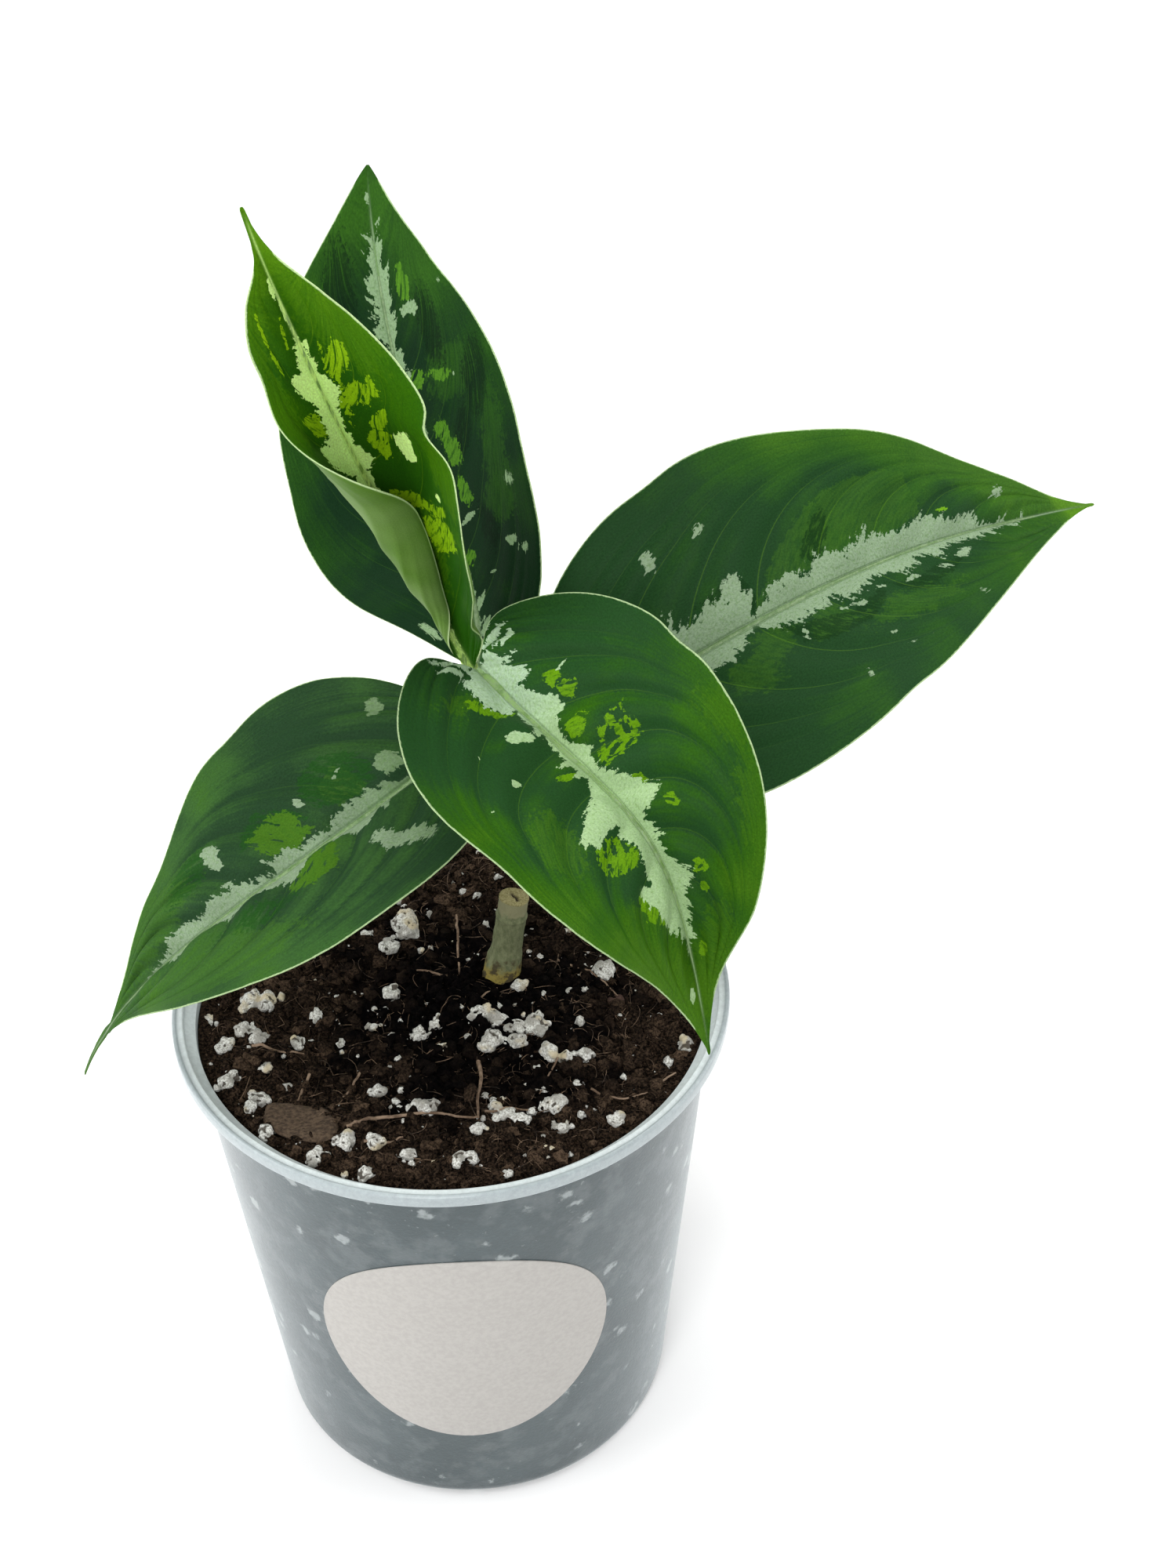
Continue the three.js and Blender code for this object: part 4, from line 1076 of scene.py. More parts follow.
def half_width_at(leaf, side, along):
    """The outline, as the width of each half along the leaf, with its dips and its narrow drip tip."""
    fullness = pick(leaf["fullness"], side)
    widest = fullness / (fullness + leaf["taper"])
    tip = leaf["tip"]
    start, end = pick(tip["start"], side), pick(tip["end"], side)
    scale = blend(1.0, pick(tip["keep"], side), smooth((along - start) / (end - start)))
    for dip_side, place, span, depth in leaf["dips"]:
        scale = scale * np.where(side == dip_side, 1 - depth * np.exp(-((along - place) / span) ** 2), 1)
    shape = (along / widest) ** fullness * ((1 - along) / (1 - widest)) ** leaf["taper"]
    drip = blend(TIP_END_WIDTH, TIP_WIDTH, np.clip((1 - along) / 0.12, 0, 1)) * smooth((along - 0.8) / 0.08)
    drip = drip * np.sqrt(np.clip((1 - along) / 0.006, 0, 1))
    return np.maximum(pick(leaf["half_width"], side) * scale * shape, drip)


def roll_at(leaf, side, share):
    """Degrees that the margin is turned in past its fold, on a leaf that is still opening."""
    if "roll" not in leaf:
        return 0.0
    roll = leaf["roll"]
    opened = smooth((share - roll["middle"]) / roll["span"] + 0.5)
    return pick(roll["turn"], side) * (1 - opened) * smooth(share / roll["start"])


def blade_points(leaf, along, across):
    """Middle surface of the blade, with its places on the flat leaf."""
    side = (across >= 0).astype(int)
    outward = np.abs(across)
    half_width = half_width_at(leaf, side, along)
    notch = NOTCH_WIDTH * sum(leaf["half_width"]) / 2
    filled = leaf["lobe"] * np.exp(-(outward * half_width / notch) ** 2) * (1 - along) ** NOTCH_FADE
    share = -leaf["lobe"] + along * (1 + leaf["lobe"]) + filled
    place, _, right, up = rib_frame(leaf, share)
    start = np.radians(pick(leaf["fold_at_rib"], side))
    end = np.radians(pick(leaf["fold_at_margin"], side) + roll_at(leaf, side, np.clip(share, 0, 1)))
    turn = end - start
    turn = np.where(np.abs(turn) < SMALLEST_TURN, SMALLEST_TURN, turn)
    angle = start + turn * outward
    reach = half_width * (np.sin(angle) - np.sin(start)) / turn
    rise = half_width * (np.cos(start) - np.cos(angle)) / turn
    wave = leaf["wave"]
    ripple = np.sin(2 * math.pi * (wave["count"] * along + pick(wave["phase"], side)))
    lift = rise + wave["height"] * ripple * outward ** 2 * 4 * along * (1 - along)
    reach = np.where(side == 0, -reach, reach)
    return place + right * reach[..., None] + up * lift[..., None], share, half_width


def spot_depth(spot, x, y):
    """Distance inside an oval, in millimetres, and negative outside."""
    centre_x, centre_y, length, width, turn = spot
    c, s = math.cos(math.radians(turn)), math.sin(math.radians(turn))
    u = ((x - centre_x) * c + (y - centre_y) * s) / length
    v = (-(x - centre_x) * s + (y - centre_y) * c) / width
    return (1 - np.hypot(u, v)) * min(length, width)


def outline_depth(outline, x, y):
    """Distance inside a closed outline, in millimetres, and negative outside."""
    inside = np.zeros(x.shape, dtype=bool)
    nearest = np.full(x.shape, FARTHEST)
    for (ax, ay), (bx, by) in zip(outline, outline[1:] + outline[:1]):
        share = ((x - ax) * (bx - ax) + (y - ay) * (by - ay)) / ((bx - ax) ** 2 + (by - ay) ** 2)
        share = np.clip(share, 0, 1)
        nearest = np.minimum(nearest, np.hypot(x - ax - share * (bx - ax), y - ay - share * (by - ay)))
        if ay != by:
            inside ^= ((ay > y) != (by > y)) & (x < ax + (y - ay) / (by - ay) * (bx - ax))
    return np.where(inside, nearest, -nearest)


def marks_depth(patches, x, y, soft=1.0):
    """Distance inside the nearest patch. It counts for more in a small patch, whose edge is torn less."""
    depth = np.full(x.shape, NO_PATCH)
    for patch in patches:
        if isinstance(patch, tuple):
            stiff = soft / min(1, max(0.12, min(patch[2:4]) / WHOLE_SPOT))
            depth = np.maximum(depth, stiff * spot_depth(patch, x, y))
        else:
            table = vectors(patch)
            span = np.sqrt(np.prod(table.max(axis=0) - table.min(axis=0)))
            depth = np.maximum(depth, outline_depth(patch, x, y) / min(1, max(0.2, span / WHOLE_PATCH)))
    return depth


def silver_depth(leaf, x, y):
    """The stripe with a whole core along the rib, and the silver patches."""
    left, right = leaf["stripe"]
    start, end = right[0][0], min(left[-1][0], right[-1][0])
    edge = [(start, RIB_CORE), (end - 6, RIB_CORE), (end, 0.2)]
    core = edge + [(along, -out) for along, out in edge[::-1]]
    depth = np.maximum(outline_depth(right + left[::-1], x, y), 4 * outline_depth(core, x, y))
    return np.maximum(depth, marks_depth(leaf["silver"], x, y)) / leaf["tear"]


def grid_normals(points):
    return unit(np.cross(np.gradient(points, axis=1), np.gradient(points, axis=0)))


def blade_grid():
    """Rows along the rib, closer at both ends, and columns that crowd a little at the rib and the margin."""
    spread = np.linspace(-1, 1, BLADE_COLUMNS + 1)
    spread = spread - COLUMN_CROWDING * np.sin(2 * math.pi * spread) / math.pi
    run = blend(FIRST_ROW, 1 - FIRST_ROW, (1 - np.cos(np.linspace(0, math.pi, BLADE_ROWS + 1))) / 2)
    return np.meshgrid(run, spread, indexing="ij")


def blade_faces():
    """Faces of the upper skin, of the lower one and of the edge between them, with a material for each."""
    width = BLADE_COLUMNS + 1
    total = (BLADE_ROWS + 1) * width
    ids = np.arange(total).reshape(-1, width)
    quads = np.stack([ids[:-1, :-1], ids[:-1, 1:], ids[1:, 1:], ids[1:, :-1]], -1).reshape(-1, 4)
    edge = np.concatenate([ids[0, :], ids[1:, -1], ids[-1, -2::-1], ids[-2:0:-1, 0]])
    following = np.roll(edge, -1)
    strip = np.stack([edge, edge + total, following + total, following], -1)
    kinds = [0] * len(quads) + [1] * len(quads) + [0] * len(strip)
    return np.concatenate([quads, quads[:, ::-1] + total, strip]).tolist(), kinds


def flat_leaf(leaf, along, across):
    """The blade's middle surface, with what its relief and marks follow on the flat leaf."""
    middle, share, half_width = blade_points(leaf, along, across)
    length = distances(bezier(leaf["rib"], np.linspace(0, 1, 200))[0])[-1]
    outward = np.abs(across)
    side = (across >= 0).astype(int)
    out = outward * half_width
    # The side veins leave the rib evenly and sweep forward to the margin.
    bend = -np.log(1 - outward / VEIN_LIMIT) - outward / VEIN_LIMIT
    origin = (share - VEIN_LEAN * outward - VEIN_SWEEP * bend) * length
    count = origin / VEIN_SPACING + pick(leaf["vein_shift"], side)
    return SimpleNamespace(
        middle=middle,
        share=share,
        half_width=half_width,
        outward=outward,
        side=side,
        out=out,
        x=share * length,
        y=np.where(side == 0, -out, out),
        margin=(1 - outward) * half_width,
        origin=origin,
        count=count,
        between=np.abs(np.sin(math.pi * count)),
        fade=smooth((0.97 - outward) / 0.5) * smooth(out / 5) * smooth((1 - share) / 0.3),
    )


def blade_relief(leaf, index, flat):
    """Quilting between the veins and a groove over the rib, on slightly uneven ground."""
    relief = leaf["relief"] * QUILT_HEIGHT * flat.between * flat.fade * (1 - flat.outward) ** 0.6
    relief -= RIB_GROOVE * np.exp(-(flat.out / 0.8) ** 2) * smooth((1 - flat.share) / 0.2)
    return relief + UNEVEN_HEIGHT * fractal(triples(flat.x, flat.y, 9.0 * index), 9, 3, index)


def blade_tone(leaf, index, flat):
    """How light the green is: towards the margin and the tip, a random tone for the panels between the
    veins, and painted light and shade across the panels and in the creases.
    """
    sector = triples(np.floor(flat.count), flat.side, index).astype(np.int64)
    # Painted light and shade: the panels are painted lighter just past one vein and darker towards the next,
    # and the creases at the veins are painted darker.
    panel_shading = 0.5 - (flat.count - np.floor(flat.count))
    crease_shade = (1 - flat.between) ** 3
    lines = SECTOR_TONE * lattice_value(sector, 17) + PANEL_LIGHT_AND_SHADE * panel_shading - CREASE_SHADE * crease_shade
    before_tip, at_tip = leaf["tip_tone"]
    edge = pick(leaf["edge_tone"], flat.side) * smooth(1 - flat.margin / EDGE_TONE_WIDTH)
    tone = leaf["tone"] + before_tip * smooth((flat.share - 0.45) / 0.5)
    tone = tone + edge * smooth((flat.x - 15) / 40)
    return tone + lines * leaf["relief"] * flat.fade + at_tip * smooth((flat.share - 0.88) / 0.08)


def blade_fields(leaf, index, flat):
    """The values that the blade's material reads at each point, three to a field."""
    x, y = flat.x, flat.y
    rib_width = blend(*RIB_LINE_WIDTHS, smooth(flat.share))
    rib_line = np.exp(-(flat.out / rib_width) ** 2) * smooth((1 - flat.share) / 0.1)
    lime = np.minimum(marks_depth(leaf["lime"], x, y), -marks_depth(leaf.get("gaps", []), x, y))
    # At the narrow tip there is no painted highlight along the edge, and the marks run along the leaf
    # instead of the veins.
    away_from_tip = 1.2 * (1 - smooth(flat.half_width / 4))
    grain_along = blend(x, flat.origin, smooth((flat.half_width - 4) / 14))
    return {
        "sheet": (x, y, flat.margin + away_from_tip),
        "grain": (grain_along, flat.out, 17.0 * flat.side + 40.0 * index),
        "marks": (silver_depth(leaf, x, y), lime, marks_depth(leaf["fresh"], x, y, 0.4)),
        "lines": (flat.count, flat.fade, rib_line),
        "tone": (blade_tone(leaf, index, flat), marks_depth(leaf.get("deep", []), x, y, 0.4)),
    }


def leaf_piece(leaf, index, materials):
    """One leaf with its blade, its stalk and rib, and its sheath."""
    flat = flat_leaf(leaf, *blade_grid())
    middle = flat.middle + grid_normals(flat.middle) * blade_relief(leaf, index, flat)[..., None]
    half_thick = BLADE_THICKNESS / 2 * blend(EDGE_THINNING, 1, smooth(flat.margin / 1.5))
    outwards = grid_normals(middle) * half_thick[..., None]
    skin = np.concatenate([middle + outwards, middle - outwards]).reshape(-1, 3)
    faces, kinds = blade_faces()
    extra = [stalk_and_rib(leaf)] + ([sheath_mesh(leaf)] if leaf["sheath"] else [])
    points, faces = joined([(skin, faces)] + extra)
    kinds += [2] * (len(faces) - len(kinds))
    unmarked = np.zeros((len(points) - len(skin), 3))
    fields = {}
    for label, values in blade_fields(leaf, index, flat).items():
        fields[label] = np.vstack([triples(*values).reshape(-1, 3)] * 2 + [unmarked])
    piece = make_piece(leaf["name"] + "_fine", points, faces, materials, kinds, fields, 50)
    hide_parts(leaf["name"])


def rib_radius_at(share):
    return blend(PETIOLE_RADIUS, RIB_TIP_RADIUS, np.sqrt(np.clip(share / RIB_END, 0, 1)))


def stalk_and_rib(leaf):
    """The stalk, carried on along the blade's underside as its raised midrib."""
    shares = np.array([0.02, 0.1, 0.2, 0.3, 0.4, 0.5, 0.6, 0.7, 0.8, RIB_END])
    place, _, _, up = rib_frame(leaf, shares)
    under = place - up * (0.55 * rib_radius_at(shares)[:, None] + 0.1)
    path = catmull(np.vstack([vectors(leaf["stalk"]), under]), 90)
    steps = distances(path)
    bare = np.linalg.norm(vectors(leaf["stalk"][0]) - vectors(leaf["rib"][0])) / steps[-1]
    on_rib = np.clip((steps / steps[-1] - bare) / (1 - bare), 0, 1)

    def grooves(_, shares_along, angles):
        return STALK_GROOVE * np.cos(STALK_GROOVE_COUNT * angles) * (1 - shares_along)[:, None]

    return tube_mesh(path, rib_radius_at(on_rib * RIB_END), 20, grooves)


def cane_at(heights):
    x, y, z = catmull(CANE_PATH, 240).T
    return triples(np.interp(heights, z, x), np.interp(heights, z, y), heights)


def sheath_mesh(leaf):
    """The stalk's clasping base: a collar that widens upwards and ends in a thin, slanting lip."""
    low, high = leaf["sheath"]
    angles = circle(SHEATH_SIDES)
    toward = vectors(leaf["stalk"][1]) - vectors(leaf["stalk"][0])
    lean = np.cos(angles - math.atan2(toward[1], toward[0]))
    share = np.linspace(0, 1, SHEATH_RINGS)[:, None]
    centre = cane_at(blend(low - 1.2, high, share) + 0.9 * lean * share)
    uneven = SHEATH_LIP * lean + 0.07 * np.cos(11 * angles)
    outer = CANE_RADII[1] + SHEATH_GAP + SHEATH_SPREAD * smooth(share * 1.1) + uneven * share
    inner = outer - blend(*SHEATH_THICKNESS, share)
    skins = [centre + around(outer, 0, angles), (centre + around(inner, 0, angles))[::-1]]
    return np.concatenate(skins).reshape(-1, 3), skin_faces(2 * SHEATH_RINGS, SHEATH_SIDES, "joined")


def leaves():
    for index, leaf in enumerate(LEAVES):
        tones = (YOUNG_PAINTED_BRIGHT if "roll" in leaf else MATURE) | leaf["tints"]
        kinds = {"_upper": leaf_upper, "_under": leaf_under, "_stalk": stalk_material}
        leaf_piece(leaf, index, [make(leaf["name"] + ending, tones) for ending, make in kinds.items()])


# Pot and label

def wall_radius_at(height):
    return WALL_BASE_RADIUS + (WALL_TOP_RADIUS - WALL_BASE_RADIUS) * (height / POT_HEIGHT)


def arc(centre_x, centre_z, radius, start, end, count):
    angles = np.radians(np.linspace(start, end, count))
    return [(centre_x + radius * math.cos(a), centre_z + radius * math.sin(a)) for a in angles]


def pot_material():
    """Milky plastic with the soil's tones behind it: clouds, pale lumps, crumbs and dark specks."""
    nodes = Nodes("milky_plastic")
    place = nodes.place()
    height = nodes.parts(place)[2]
    radius = nodes.off_axis(place)
    cloud = nodes.noise(place, 0.035, 3, 0.55)
    mottle = nodes.noise(place, 0.16, 4, 0.55)
    fine = nodes.noise(place, 1.4)
    lumps = nodes.cells(nodes.stretched(place, (1, 1, 1.15)), 0.115)
    lumps = lumps + nodes.noise(place, 0.55, 4).swing(0.22)
    crumbs = nodes.noise(place, 0.7, 3, 0.7).step(0.66, 0.72)
    specks = nodes.cells(place, 0.42).step(0.13, 0.06) * cloud.step(0.5, 0.62)
    # Above the soil the wall is clear of it: lighter inside the rim's ridge and greyer outside.
    bare = (height + mottle.swing(2.5)).step(SOIL_LEVEL - 2.5, SOIL_LEVEL + 0.8)
    lip = nodes.layers(
        # Painted light: the inner wall's milky colour is raised to stand in for light through the plastic
        # where it lies in shade.
        (0.560, 0.615, 0.615),
        (radius.step(RIM_RADIUS - 1.7, RIM_RADIUS - 1.2), (0.325, 0.370, 0.380)),
        # Painted highlight along the top of the rim's ridge.
        (abs(radius - (RIM_RADIUS - 1.3)).step(0.3, 0.1) * 0.6, (0.62, 0.67, 0.67)),
    )
    tone = nodes.layers(
        (0.016, 0.033, 0.038),
        (cloud.step(0.3, 0.7), (0.038, 0.060, 0.066)),
        (mottle.step(0.46, 0.66) * 0.55, (0.090, 0.110, 0.116)),
        (lumps.step(0.26, 0.14) * mottle.step(0.44, 0.54) * 0.8, (0.27, 0.305, 0.305)),
        (crumbs * 0.5, (0.20, 0.225, 0.225)),
        (specks * 0.7, (0.008, 0.010, 0.010)),
        (bare, lip),
    )
    nodes.bump(fine, 0.05)
    return nodes.finish(
        Base_Color=nodes.shaded(tone, nodes.noise(place, 0.9, 5, 0.75) * 0.6 + 0.62),
        Roughness=fine * 0.2 + 0.24,
        Specular_IOR_Level=0.4,
        Coat_Weight=0.32,
        Coat_Roughness=0.15,
        Sheen_Weight=0.26,
        Sheen_Roughness=0.35,
        Sheen_Tint=(0.84, 0.94, 0.97),
        Subsurface_Weight=0.25,
        Subsurface_Radius=(1.0, 1.0, 1.0),
        Subsurface_Scale=0.002,
    )


def pot_profile():
    """Radius and height of the pot's skin, from under the base up the outside and down the inside."""
    skirt = POT_HEIGHT - RIM_SKIRT_HEIGHT
    inner = RIM_RADIUS - RIM_WIDTH
    flat = WALL_BASE_RADIUS - BASE_EDGE_RADIUS
    bend = np.linspace(0, 1, 9)[1:, None]
    foot = [(flat, 0), (WALL_BASE_RADIUS, 0), (wall_radius_at(BASE_EDGE_RADIUS), BASE_EDGE_RADIUS)]
    a, b, c = vectors(foot)
    profile = [(radius, 0) for radius in np.linspace(8, flat, 6)]
    profile += ((1 - bend) ** 2 * a + 2 * bend * (1 - bend) * b + bend ** 2 * c).tolist()
    profile += [(wall_radius_at(z), z) for z in np.linspace(BASE_EDGE_RADIUS, skirt - 0.6, 40)[1:]]
    profile += [(wall_radius_at(skirt) + 0.5, skirt - 0.1)]
    low_edge, high_edge, inner_edge = RIM_SKIRT_EDGE_RADIUS, RIM_EDGE_RADIUS, RIM_INNER_EDGE_RADIUS
    profile += arc(RIM_RADIUS - low_edge, skirt + low_edge, low_edge, -90, 0, 4)
    profile += arc(RIM_RADIUS - high_edge, POT_HEIGHT - high_edge, high_edge, 0, 90, 6)
    profile += [(RIM_RADIUS - 1.15, POT_HEIGHT - RIM_DIP + 0.02), (RIM_RADIUS - 1.5, POT_HEIGHT - RIM_DIP)]
    profile += arc(inner + inner_edge, POT_HEIGHT - inner_edge - 0.1, inner_edge, 90, 180, 5)
    profile += [(inner - 0.1, POT_HEIGHT - 1.5)]
    profile += [(wall_radius_at(z) - WALL_THICKNESS, z) for z in (skirt, skirt - 3, 60, 20, 6)]
    profile += [(wall_radius_at(BASE_THICKNESS) - WALL_THICKNESS - 2, BASE_THICKNESS)]
    return vectors(profile)


def drain_holes():
    """A hidden body with a rod for each hole in the pot's base."""
    rods = bmesh.new()
    for angle in circle(DRAIN_HOLE_COUNT):
        place = Vector((math.cos(angle), math.sin(angle), 0)) * DRAIN_RING_RADIUS * MM
        radius = DRAIN_HOLE_RADIUS * MM
        bmesh.ops.create_cone(rods, cap_ends=True, segments=40, radius1=radius, radius2=radius,
                              depth=4 * BASE_THICKNESS * MM, matrix=Matrix.Translation(place))
    mesh = bpy.data.meshes.new("drain_holes")
    rods.to_mesh(mesh)
    rods.free()
    return add_object("drain_holes", mesh)


def pot():
    rings = pot_profile()
    skin = around(rings[:, :1], rings[:, 1:], circle(POT_SIDES)).reshape(-1, 3)
    points = np.vstack([skin, [[0, 0, 0], [0, 0, BASE_THICKNESS]]])
    piece = make_piece("pot_fine", points, skin_faces(len(rings), POT_SIDES), [pot_material()])
    cutter = drain_holes()
    apply_modifier(piece, "drain_holes", "BOOLEAN", operation="DIFFERENCE", object=cutter)
    bpy.data.objects.remove(cutter)
    piece.data.set_sharp_from_angle(angle=math.radians(40))
    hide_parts("pot")


def label_material():
    nodes = Nodes("label_paper")
    place = nodes.place()
    fibres = nodes.noise(place, (1.2, 1.2, 4.8))
    tone = nodes.layers(
        (0.357, 0.343, 0.323),
        (nodes.noise(place, 0.9, 4).step(0.3, 0.7), (0.400, 0.386, 0.364)),
        (fibres.step(0.55, 0.8) * 0.3, (0.322, 0.310, 0.290)),
    )
    nodes.bump(fibres, 0.03)
    return nodes.finish(Base_Color=tone, Roughness=0.75, Specular_IOR_Level=0.3)


def label():
    angles = circle(LABEL_SIDES)
    low, high = LABEL_GAP, LABEL_GAP + LABEL_THICKNESS + 0.02

    def on_wall(reach, lift):
        heights = LABEL_HEIGHT + reach * np.sin(angles)
        turn = math.radians(LABEL_AZIMUTH - 90) + reach * np.cos(angles) / wall_radius_at(LABEL_HEIGHT)
        return around(wall_radius_at(heights) + lift, heights, turn)

    inner = (LABEL_RADIUS * (np.arange(LABEL_RINGS) + 0.02) / LABEL_RINGS).tolist()
    rows = [(reach, high) for reach in inner]
    rows += [(LABEL_RADIUS - 0.08, high), (LABEL_RADIUS, LABEL_THICKNESS - 0.05), (LABEL_RADIUS, low)]
    rows += [(reach, low) for reach in inner[::-1]]
    points = np.vstack([on_wall(*row) for row in rows])
    piece = make_piece("label_fine", points, skin_faces(len(rows), LABEL_SIDES, "flat"), [label_material()])
    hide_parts("label")


# Soil

def soil_radius_at(height):
    return wall_radius_at(height) - WALL_THICKNESS - SOIL_GAP


def soil_height(x, y):
    """The bed's top: soft swells and lumps of two sizes, level where it meets the wall."""
    relief = (np.sin(x / 6.1 + 0.7) * np.cos(y / 7.3) + 0.6 * np.sin((x + y) / 4.3 + 1.9)
              + 0.5 * np.cos((x - 1.4 * y) / 3.4))
    flat = triples(x, y)
    lumps = 0.9 * fractal(flat, 6.0, 4, 3) + 0.45 * np.abs(fractal(flat, 2.4, 3, 13))
    edge = smooth((soil_radius_at(SOIL_LEVEL) - np.hypot(x, y)) / 3)
    return SOIL_LEVEL + (SOIL_RELIEF * relief + lumps) * edge - SOIL_SETTLE


def soil_material():
    """Peat painted near-black round the middle as painted shade of the leaves, and brown towards the wall.
    Each crumb has its own tone.
    """
    nodes = Nodes("potting_mix")
    place = nodes.place()
    own = nodes.parts(nodes.field("crumb"))[0]
    middle = nodes.noise(place, 0.6, 4, 0.65)
    fine = nodes.noise(place, 1.7, 5, 0.75)
    dark = nodes.mix(middle.step(0.4, 0.68), (0.0006, 0.0005, 0.0007), (0.0050, 0.0036, 0.0032))
    brown = nodes.mix(fine.step(0.42, 0.62), (0.0030, 0.0022, 0.0018), (0.0480, 0.0310, 0.0200))
    pale = nodes.mix(fine.step(0.35, 0.65), (0.0160, 0.0100, 0.0070), (0.1250, 0.0830, 0.0540))
    # Painted shade: the bed is near-black round the middle, under the leaves, and brown and pale crumbs show
    # only farther out.
    edge = nodes.off_axis(place, *SHADED_SOIL_CENTRE) + nodes.noise(place, 0.09).swing(30)
    tone = nodes.layers(dark, (edge.step(22, 48), brown), (own * edge.step(8, 50), pale))
    nodes.bump(middle + fine, 0.6)
    return nodes.finish(Base_Color=tone, Roughness=0.95, Specular_IOR_Level=0.03)


def soil_bed(material):
    angles = circle(SOIL_SIDES)
    reach = soil_radius_at(SOIL_LEVEL) * np.linspace(0, 1, SOIL_RINGS + 1)[1:, None] ** 0.55
    top = around(reach, soil_height(reach * np.cos(angles), reach * np.sin(angles)), angles)
    floor = BASE_THICKNESS + 0.2
    sides = [(soil_radius_at(height), height) for height in (SOIL_LEVEL - 6, 60, 20, BASE_THICKNESS + 1)]
    sides.append((soil_radius_at(BASE_THICKNESS) - 3, floor))
    rows = list(top) + [around(radius, height, angles) for radius, height in sides]
    points = np.vstack(rows + [[[0, 0, soil_height(0.0, 0.0)]], [[0, 0, floor]]])
    faces = skin_faces(len(rows), SOIL_SIDES, flip=True)
    fields = {"crumb": np.zeros((len(points), 3))}
    piece = make_piece("soil_bed", points, faces, [material], fields=fields, sharp=180)
    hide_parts("soil")


def ball(detail):
    """Points and faces of a ball of radius 1."""
    mesh = bmesh.new()
    bmesh.ops.create_icosphere(mesh, subdivisions=detail, radius=1)
    points = np.array([vertex.co for vertex in mesh.verts])
    faces = [tuple(vertex.index for vertex in face.verts) for face in mesh.faces]
    mesh.free()
    return points, faces


def scattered(random, count, edge, radii):
    """Random places on the soil inside the wall and clear of the stems, with a radius for each."""
    places = []
    reach = soil_radius_at(SOIL_LEVEL) - edge
    while len(places) < count:
        angle = random.uniform(0, 2 * math.pi)
        distance = reach * math.sqrt(random.random())
        radius = blend(radii[0], radii[1], random.random() ** SIZE_SKEW)
        x, y = distance * math.cos(angle), distance * math.sin(angle)
        clear = all(math.hypot(x - px, y - py) >= stem + radius for px, py, stem in STEMS_IN_SOIL)
        if distance + radius < reach + edge - 0.4 and clear:
            places.append((x, y, radius))
    return places


def knobbly(shape, random, x, y, radius, flat, rise, rough):
    """A lump on the bed. flat is its height to its width, rise its lift, and rough its unevenness."""
    points, faces = shape
    seed = int(random.integers(1, 100000))
    swell = 1 + rough * fractal(points + 10.0 * seed, LUMP_GRAIN, 3, seed % 997)
    stretch = np.array([1.0, blend(0.72, 1.1, random.random()), flat])
    turn = random.uniform(0, math.pi)
    tilt = Matrix.Rotation(turn, 3, "Z") @ Matrix.Rotation(random.uniform(-0.5, 0.5), 3, "X")
    shaped = (points * swell[:, None] * stretch * radius) @ np.array(tilt).T
    return shaped + np.array([x, y, soil_height(x, y) + rise * radius]), faces


def soil_crumbs(material, shapes):
    random = np.random.default_rng(11)
    lumps = []
    own = []
    for x, y, radius in scattered(random, CRUMB_COUNT, 0.8, CRUMB_RADII):
        shape = shapes[1 if radius < FINE_CRUMB else 2]
        lumps.append(knobbly(shape, random, x, y, radius, random.uniform(0.45, 0.9), 0.3, 0.75))
        own.append(np.full(len(shape[0]), random.random() ** 3))
    fields = {"crumb": triples(np.concatenate(own))}
    piece = make_piece("soil_crumbs", *joined(lumps), [material], fields=fields, sharp=35)


def perlite_material():
    nodes = Nodes("perlite")
    place = nodes.place()
    pits = nodes.parts(nodes.field("pits"))[0]
    fine = nodes.noise(place, 2.4, 4, 0.65)
    grey = nodes.noise(place, 0.3, 2, 0.5)
    tone = nodes.layers(
        (0.25, 0.24, 0.21),
        (fine.step(0.36, 0.6), nodes.mix(grey.step(0.38, 0.55), (0.34, 0.33, 0.30), (0.68, 0.68, 0.64))),
        (nodes.noise(place, 0.16, 2, 0.5).step(0.55, 0.66) * 0.75, (0.52, 0.44, 0.28)),
        # Painted shade: the pores are painted dark, as the shade in their hollows.
        ((pits + fine.swing(0.5)).step(0.42, 0.85) * 0.9, (0.045, 0.035, 0.024)),
    )
    nodes.bump(fine, 0.3)
    return nodes.finish(Base_Color=tone, Roughness=0.85, Specular_IOR_Level=0.25,
                        Subsurface_Weight=0.1, Subsurface_Radius=(1, 1, 1), Subsurface_Scale=0.0005)


def pit_depth(points, seed):
    """How deep in a pore of the foamed glass each point is, from 0 to 1."""
    pores = value_noise(points / 0.75, seed) + 0.6 * value_noise(points / 1.9, seed + 1)
    return smooth((pores - 0.28) / 0.45)


def lump_bubbles(random, x, y, radius):
    """Grown-together bubbles of one perlite lump: a heart and smaller ones round it."""
    turn, stretch = random.uniform(0, math.pi), random.uniform(1.05, 1.75)
    c, s = math.cos(turn), math.sin(turn)
    placed = [(x, y, 0.15 * radius, 0.72 * radius)]
    for _ in range(3 if radius < 1.6 else 7):
        angle = random.uniform(0, 2 * math.pi)
        size = random.uniform(0.3, 0.52)
        rise = random.uniform(0.0, 0.5)
        u = (0.98 - size) * math.cos(angle) * stretch
        v = (0.98 - size) * math.sin(angle) / stretch
        px, py = x + radius * (u * c - v * s), y + radius * (u * s + v * c)
        placed.append((px, py, radius * rise, radius * size))
    return placed


